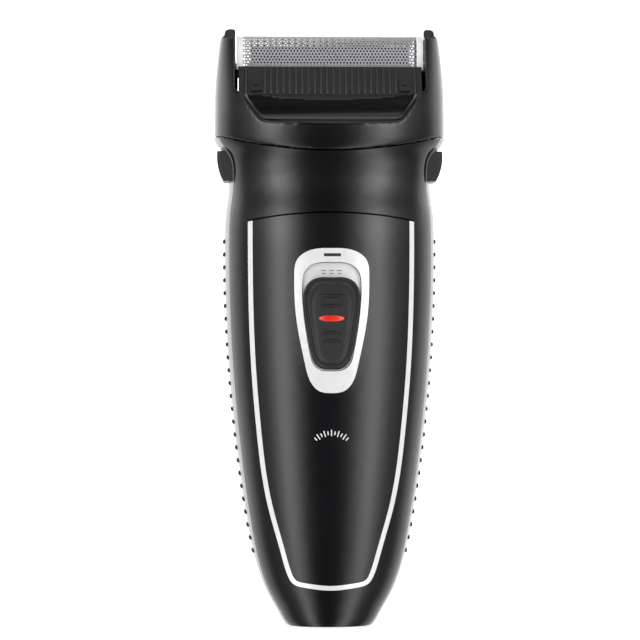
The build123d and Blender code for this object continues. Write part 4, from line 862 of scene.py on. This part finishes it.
def studio():
    """A pale floor in a white room, whose soft boxes and dark middle show as broad reflections."""
    low, high = cad_box
    tall = (high - low).z
    reach = tall * 8
    floor = plate("floor", [(a * reach, b * reach, 0) for a, b in CORNERS])
    paper, tree, surface, where = new_material("white paper")
    grain = add_node(tree, NOISE, grains(1.2, 3.0), Vector=where).outputs["Fac"]
    tones = add_node(tree, "ShaderNodeValToRGB", {"colours": ("#f6f6f6", "#fbfbfb")}, Fac=grain)
    tree.links.new(tones.outputs["Color"], surface.inputs["Base Color"])
    surface.inputs["Roughness"].default_value = 0.9
    surface.inputs["Emission Color"].default_value = linear("#ffffff")
    surface.inputs["Emission Strength"].default_value = 0.55
    floor.data.materials.append(paper)
    floor.visible_glossy = False

    work = bmesh.new()
    bmesh.ops.create_icosphere(work, subdivisions=4, radius=reach * 1.8)
    surround = linked("surround", closed("surround", work))
    wall, tree, surface, where = new_material("white studio wall")
    grain = add_node(tree, NOISE, grains(40.0, 2.0), Vector=where).outputs["Fac"]
    tones = add_node(tree, "ShaderNodeValToRGB", {"colours": ("#ffffff", "#fefefe")}, Fac=grain)
    tree.links.new(tones.outputs["Color"], surface.inputs["Emission Color"])
    surface.inputs["Emission Strength"].default_value = 1.0
    surround.data.materials.append(wall)
    surround.visible_diffuse = surround.visible_glossy = surround.visible_shadow = False
    surround.visible_transmission = False

    world = bpy.data.worlds.new("studio")
    bpy.context.scene.world = world
    world.use_nodes = True
    tree = world.node_tree
    tree.nodes.clear()
    where = add_node(tree, "ShaderNodeTexCoord").outputs["Generated"]
    part = add_node(tree, "ShaderNodeSeparateXYZ", Vector=where)
    forward = add_node(tree, MATH, {"operation": "MULTIPLY", 1: -1.0}, _0=part.outputs["Y"])
    turn = {"operation": "ARCTAN2"}
    turn = add_node(tree, MATH, turn, _0=part.outputs["X"], _1=forward.outputs[0]).outputs[0]
    turn = add_node(tree, MATH, {"operation": "ABSOLUTE"}, _0=turn).outputs[0]
    share = add_node(tree, MATH, {"operation": "DIVIDE", 1: pi}, _0=turn).outputs[0]
    round_room = add_node(tree, "ShaderNodeValToRGB", Fac=share)
    brightness(round_room, ROOM_ROUND)
    up_room = add_node(
        tree, "ShaderNodeMapRange", {"From Min": -1.0, "From Max": 1.0}, Value=part.outputs["Z"]
    )
    floor_to_ceiling = add_node(tree, "ShaderNodeValToRGB", Fac=up_room.outputs["Result"])
    brightness(floor_to_ceiling, ROOM_UP)
    both = add_node(
        tree,
        "ShaderNodeVectorMath",
        {"operation": "MULTIPLY"},
        _0=round_room.outputs["Color"],
        _1=floor_to_ceiling.outputs["Color"],
    )
    settings = {"Strength": BRIGHTEST**2}
    light = add_node(tree, "ShaderNodeBackground", settings, Color=both.outputs[0])
    add_node(tree, "ShaderNodeOutputWorld", Surface=light.outputs[0])
    bpy.context.scene.view_settings.view_transform = "Standard"

    lamp = bpy.data.lights.new("overhead softbox", "AREA")
    lamp.shape = "RECTANGLE"
    lamp.size, lamp.size_y = tall * 3.0, tall * 2.0
    lamp.energy = 0.6
    holder = linked("overhead softbox", lamp)
    holder.location = (0, -tall * 0.8, tall * 4.0)
    look_at(holder, Vector((0, 0, tall / 2)))
    holder.visible_glossy = False


def brightness(ramp_node, stops):
    """Sets a colour ramp to a list of places and brightnesses, up to the brightest."""
    ramp = ramp_node.color_ramp
    ramp.interpolation = "B_SPLINE"
    while len(ramp.elements) < len(stops):
        ramp.elements.new(0.5)
    for element, (place, _) in zip(ramp.elements, stops):
        element.position = place
    for element, (_, level) in zip(ramp.elements, stops):
        element.color = (level / BRIGHTEST, level / BRIGHTEST, level / BRIGHTEST, 1)


def camera():
    """Level with the middle of the shaver, a touch to its left."""
    lens = bpy.data.cameras.new("camera")
    holder = linked("camera", lens)
    holder.location = (CAMERA_FAR * sin(CAMERA_TURN), -CAMERA_FAR * cos(CAMERA_TURN), CAMERA_HIGH)
    look_at(holder, Vector((CAMERA_AIM_X, 0, CAMERA_HIGH)))
    lens.sensor_width = SENSOR_WIDE
    lens.lens = SENSOR_WIDE * CAMERA_FAR / VIEW_WIDE
    lens.clip_start = 0.01
    bpy.context.scene.camera = holder


studio()
camera()
